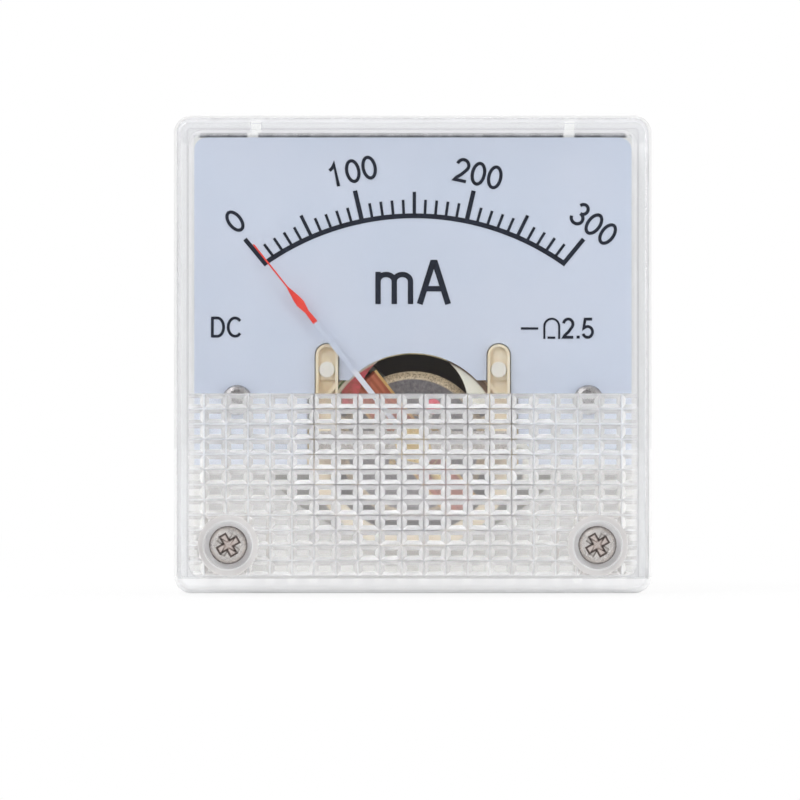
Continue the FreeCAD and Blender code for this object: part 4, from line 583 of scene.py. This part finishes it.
def ribbon(mesh, points, width, closed=False, turn=seen):
    """A flat band of the given width along the points, as a closed solid on the dial."""
    count = len(points)
    sides = []
    for index, (x, z) in enumerate(points):
        before = points[index - 1] if index or closed else None
        after = points[(index + 1) % count] if index < count - 1 or closed else None
        into = Vector((x - before[0], z - before[1])).normalized() if before else None
        out = Vector((after[0] - x, after[1] - z)).normalized() if after else None
        bend = into and out
        along = (into + out).normalized() if bend else into or out
        stretch = 1 / max(0.45, along.dot(into)) if bend else 1.0
        offset = Vector((-along.y, along.x)) * width / 2 * stretch
        sides.append((turn(x + offset.x, z + offset.y), turn(x - offset.x, z - offset.y)))
    layer = len(mesh.verts) // 4 % LAYERS  # strokes that cross lie at slightly different heights
    front = -(DIAL_FRONT + PRINT_RISE + layer * LAYER_RISE) * MM
    back = -DIAL_FRONT * MM
    rings = []
    for left, right in sides:
        corners = ((left, front), (right, front), (right, back), (left, back))
        rings.append([mesh.verts.new((x * MM, y, z * MM)) for (x, z), y in corners])
    for index in range(count if closed else count - 1):
        here, there = rings[index], rings[(index + 1) % count]
        for first in range(4):
            second = (first + 1) % 4
            mesh.faces.new((here[first], here[second], there[second], there[first]))
    if not closed:
        mesh.faces.new(rings[0][::-1])
        mesh.faces.new(rings[-1])


def sign(mesh, letter, across, up, height, width, stroke, tilt=0.0):
    """One sign with its lower left corner at across, up. width is its share of the cap height."""
    turned = math.radians(tilt)

    def turn(x, z):
        return seen(across + x * math.cos(turned) + z * math.sin(turned),
                    up - x * math.sin(turned) + z * math.cos(turned))

    for points, closed in STROKES[letter]:
        ribbon(mesh, [(x * height * width, z * height) for x, z in points], stroke, closed, turn)


def number(mesh, text, across, up, advance, tilt):
    """A number centred on across, up and tilted clockwise."""
    turned = math.radians(tilt)
    start = -(len(text) - 1) * advance / 2
    z = -NUMBER_HEIGHT / 2
    for index, letter in enumerate(text):
        x = start + index * advance - SIGN_HALF * NUMBER_HEIGHT
        sign(mesh, letter,
             across + x * math.cos(turned) + z * math.sin(turned),
             up - x * math.sin(turned) + z * math.cos(turned),
             NUMBER_HEIGHT, 1.0, NUMBER_STROKE, tilt)


def scale_marks(mesh):
    """The arc and its ticks, which point at the staff."""
    first, last = SCALE_ENDS

    def on_arc(degrees, extra):
        """Point where the ray from the staff meets the arc."""
        angle = math.radians(degrees)
        drop = PIVOT[1] - ARC_MIDDLE
        reach = -drop * math.cos(angle) + math.sqrt((ARC_RADIUS + extra) ** 2 - (drop * math.sin(angle)) ** 2)
        return (SCALE_ACROSS + reach * math.sin(angle), PIVOT[1] + reach * math.cos(angle))

    turns = [first + (last - first) * step / ARC_STEPS for step in range(ARC_STEPS + 1)]
    ribbon(mesh, [on_arc(degrees, ARC_WIDTH / 2) for degrees in turns], ARC_WIDTH)
    for index in range(MARKS):
        degrees = first + (last - first) * index / (MARKS - 1)
        length, width = next(size for every, *size in TICKS if index % every == 0)
        start = 0.0 if index in (0, MARKS - 1) else ARC_WIDTH * 0.6
        ribbon(mesh, [on_arc(degrees, start), on_arc(degrees, ARC_WIDTH + length)], width)


def unit_sign(mesh):
    """The unit in the middle of the dial."""
    base, cap, low, stroke = 4.75, 3.9, 3.05, 0.51
    left, wide = -3.27, 1.53  # stem of the small letter and width of each of its shoulders
    ribbon(mesh, [(left, base), (left, base + low)], stroke)
    for x in (left, left + wide):
        across, rise = wide / 2, wide * 0.42
        curve = arc((x + across, base + low - stroke / 2 - rise), (across, rise), 180, 0, 14)
        ribbon(mesh, [(x, base + low * 0.6), *curve, (x + wide, base)], stroke)
    ribbon(mesh, [(0.66, base), (1.89, base + cap), (2.11, base + cap), (3.34, base)], stroke * 1.1)
    ribbon(mesh, [(1.12, base + 1.45), (2.88, base + 1.45)], stroke)


def class_signs(mesh):
    """Current type, movement symbol and class at the right, current type at the left."""
    ribbon(mesh, [(10.2, 2.45), (11.85, 2.45)], 0.22)
    horseshoe = arc((13.12, 2.65), (0.7, 0.72), 180, 0, 14)
    ribbon(mesh, [(12.42, 1.46), (12.42, 2.6), *horseshoe, (13.82, 2.6), (13.82, 1.46)], 0.2)
    ribbon(mesh, [(12.72, 1.58), (13.46, 1.58)], 0.22)
    for small_sign in SMALL_SIGNS:
        sign(mesh, *small_sign)


def dial_print():
    mesh = bmesh.new()
    scale_marks(mesh)
    unit_sign(mesh)
    class_signs(mesh)
    for text in NUMBERS:
        number(mesh, *text)
    bmesh.ops.recalc_face_normals(mesh, faces=mesh.faces)
    data = mesh_data("dial_print", mesh)
    piece = placed("dial_print", data)
    ink = mottled("dial_ink", linear(22, 28, 44), linear(28, 34, 50), 1.5, 0.5, 0.65, 0.001, 0.0, 0.1,
                  Specular_IOR_Level=0.2)
    data.materials.append(ink.material)
    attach(piece, "case")


dial_print()


# ---------------------------------------------------------------- finer copies of some nodes

THREAD_RADIUS, THREAD_PITCH, THREAD_DEPTH = 1.0, 0.4, 0.2
CUTS_A_TURN = 6
FLANK_GAIN = 1.15  # over 1, so that the thread's flanks end in a narrow flat root
TIP_REACH = 18.5  # from the staff, where the pointer starts to be drawn out
BOSS_CLEAR, SIDE_COLUMNS = 4.4, 9.5  # cells nearer to a boss or further out stay as they are
TOP_RISE, TOP_ACROSS, TOP_UP = 0.06, 0.877, 0.806  # rise of the prisms' tops, and their shares of the old size


def threaded(node, axes, first, last):
    """A copy of a screw or stud node, with its plain shank from first to last cut into a rolled thread."""
    mesh = bmesh.new()
    mesh.from_mesh(NODES[node].data)
    bmesh.ops.remove_doubles(mesh, verts=mesh.verts, dist=1e-7)
    steps = int((last - first) / (THREAD_PITCH / CUTS_A_TURN))
    for step in range(steps + 1):
        y = (first + (last - first) * step / steps) * MM
        bmesh.ops.bisect_plane(mesh, geom=mesh.verts[:] + mesh.edges[:] + mesh.faces[:], dist=1e-8,
                               plane_co=(0, y, 0), plane_no=(0, 1, 0))
    for vertex in mesh.verts:
        along = vertex.co.y / MM
        if not first + 1e-4 < along < last - 1e-4:
            continue
        for across, up in axes:
            aside = vertex.co.x / MM - across
            above = vertex.co.z / MM - up
            reach = math.hypot(aside, above)
            if abs(reach - THREAD_RADIUS) > 0.02:
                continue
            phase = (along / THREAD_PITCH - math.atan2(above, aside) / math.tau) % 1.0
            fade = min(1.0, (along - first) / THREAD_PITCH, (last - along) / THREAD_PITCH)
            drop = THREAD_DEPTH * fade * min(1.0, FLANK_GAIN * abs(2 * phase - 1))
            share = (reach - drop) / reach
            vertex.co.x = (across + aside * share) * MM
            vertex.co.z = (up + above * share) * MM
    data = mesh_data(node + "_threaded", mesh)
    piece = placed(node + "_threaded", data)
    data.materials.clear()
    data.materials.append(MATERIALS[node])
    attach(piece, "case")
    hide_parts(node)


def fine_pointer():
    """A copy of the pointer whose tip is drawn out thinner."""
    data = NODES["pointer"].data.copy()
    data.name = "pointer_drawn"
    turn = math.radians(-REST_ANGLE)
    along = Vector((math.sin(turn), 0, math.cos(turn)))
    aside = Vector((math.cos(turn), 0, -math.sin(turn)))
    pivot = Vector((PIVOT[0], 0, PIVOT[1])) * MM
    for vertex in data.vertices:
        arm = vertex.co - pivot
        if arm.dot(along) > TIP_REACH * MM:
            vertex.co -= aside * arm.dot(aside) * 0.5
    piece = placed("pointer_drawn", data)
    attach(piece, "moving_coil")
    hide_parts("pointer")


def fine_prisms():
    """A copy of the cover whose prisms stand a little higher and end in smaller tops."""
    data = NODES["front_cover"].data.copy()
    data.name = "front_cover_drawn"
    for vertex in data.vertices:
        x, y, z = (value / MM for value in vertex.co)
        if abs(y + CELL_TOP) > 0.002 or z > BAND_TOP or abs(x) > COLUMN * SIDE_COLUMNS:
            continue
        if min(math.hypot(x - across, z - up) for across, up in PANEL_SCREWS) < BOSS_CLEAR:
            continue
        middle_x = COLUMN * round(x / COLUMN)
        middle_z = BAND_TOP - ROW * (math.floor((BAND_TOP - z) / ROW) + 0.5)
        vertex.co = Vector((middle_x + (x - middle_x) * TOP_ACROSS, y + TOP_RISE,
                            middle_z + (z - middle_z) * TOP_UP)) * MM
    piece = placed("front_cover_drawn", data)
    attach(piece, "case")
    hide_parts("front_cover")


threaded("mounting_screws", PANEL_SCREWS, 0.5, 9.65)
threaded("terminal_studs", TERMINALS, 14.1, 24.25)
fine_pointer()
fine_prisms()


# ---------------------------------------------------------------- floor, light and camera, in metres

ROOM_LEVEL = 1.05
# The tent's brightness as a share of white, by degrees from -Y
TENT = ((0, 0.12), (3, 0.12), (6, 0.58), (14, 0.66), (29, 0.92), (36, 1.0), (100, 1.0), (180, 0.82))

# Name, place, size, watts
LAMPS = (
    ("key_lamp", (-0.45, -0.7, 0.6), 0.45, 2.0),
    ("fill_lamp", (0.7, -0.5, 0.25), 0.5, 0.5),
    ("low_lamp", (0.62, -0.6, 0.02), 0.25, 0.8),
)
FLOOR_RADIUS, FLOOR_DROP = 3.0, 0.00005
EYE_DISTANCE, EYE_ACROSS, EYE_UP = 1.0, -0.0012, -0.0043  # from the middle of the cover's front
PIXELS_PER_MM, IMAGE_SIDE = 10.59, 800  # scale at the flange's rear face
SENSOR = 36.0


def world_light():
    """A white tent, open in a small dark circle in front of the meter. The camera sees plain white."""
    world = bpy.data.worlds.new("room")
    bpy.context.scene.world = world
    world.use_nodes = True
    made = Graph(world.node_tree, "Generated")
    turned = made.sums("ARCCOSINE", made.sums("MULTIPLY", made.axes()[1], -1.0))
    angle = made.stepped(turned, 0.0, math.radians(TENT[-1][0]))

    def tent(level):
        stops = [(degrees / TENT[-1][0], (*[share * level] * 3, 1)) for degrees, share in TENT]
        light = made.node("ShaderNodeBackground")
        made.join(made.ramp(angle, *stops), light.inputs["Color"])
        return light.outputs["Background"]

    plain = made.node("ShaderNodeBackground")
    plain.inputs["Color"].default_value = (1, 1, 1, 1)
    path = made.node("ShaderNodeLightPath")
    lit = made.shaders(path.outputs["Is Transmission Ray"], tent(ROOM_LEVEL), tent(1.0))
    shown = made.shaders(path.outputs["Is Camera Ray"], lit, plain.outputs["Background"])
    made.join(shown, made.node("ShaderNodeOutputWorld").inputs["Surface"])


def soft_lamp(name, where, size, watts):
    """A square lamp that looks at the middle of the meter."""
    data = bpy.data.lights.new(name, "AREA")
    data.shape = "SQUARE"
    data.size = size
    data.energy = watts
    lamp = placed(name, data)
    lamp.location = where
    lamp.rotation_euler = (-Vector(where)).to_track_quat("-Z", "Y").to_euler()


def pale_floor():
    """White floor that keeps a soft shadow of the meter."""
    mesh = bmesh.new()
    bmesh.ops.create_circle(mesh, cap_ends=True, segments=96, radius=FLOOR_RADIUS)
    data = mesh_data("floor", mesh)
    floor = placed("floor", data)
    floor.location = (0, 0, cad_box[0][2] - FLOOR_DROP)
    paint = Finish("floor_paint", (0.9, 0.9, 0.9, 1), 0.9, Specular_IOR_Level=0.0)
    tones = (0.3, (0.89, 0.89, 0.89, 1)), (0.7, (0.91, 0.91, 0.91, 1))
    paint.colour(paint.ramp(paint.noise(60.0), *tones))
    path = paint.node("ShaderNodeLightPath")
    rays = [path.outputs[kind] for kind in ("Is Camera Ray", "Is Glossy Ray", "Is Transmission Ray")]
    glowing = paint.chain("MAXIMUM", *rays)
    x, y, _ = paint.axes()
    share = paint.sums("MULTIPLY", glowing, paint.stepped(paint.length(x, y), 0.05, 0.4, 0.84, 1.0))
    glow = paint.node("ShaderNodeEmission")
    glow.inputs["Strength"].default_value = 1.0
    mixed = paint.shaders(share, paint.shader.outputs["BSDF"], glow.outputs["Emission"])
    paint.join(mixed, paint.output.inputs["Surface"])
    data.materials.append(paint.material)


def camera():
    """The photograph's view, square on to the dial."""
    data = bpy.data.cameras.new("camera")
    data.sensor_width = SENSOR
    data.lens = PIXELS_PER_MM * (EYE_DISTANCE * 1000 + COVER_FRONT) * SENSOR / IMAGE_SIDE
    data.clip_start = 0.05
    data.clip_end = 50.0
    eye = placed("camera", data)
    eye.location = (EYE_ACROSS, -COVER_FRONT * MM - EYE_DISTANCE, EYE_UP)
    eye.rotation_euler = (math.radians(90), 0, 0)
    bpy.context.scene.camera = eye


bpy.context.scene.view_settings.view_transform = "Standard"
world_light()
pale_floor()
for lamp_values in LAMPS:
    soft_lamp(*lamp_values)
camera()
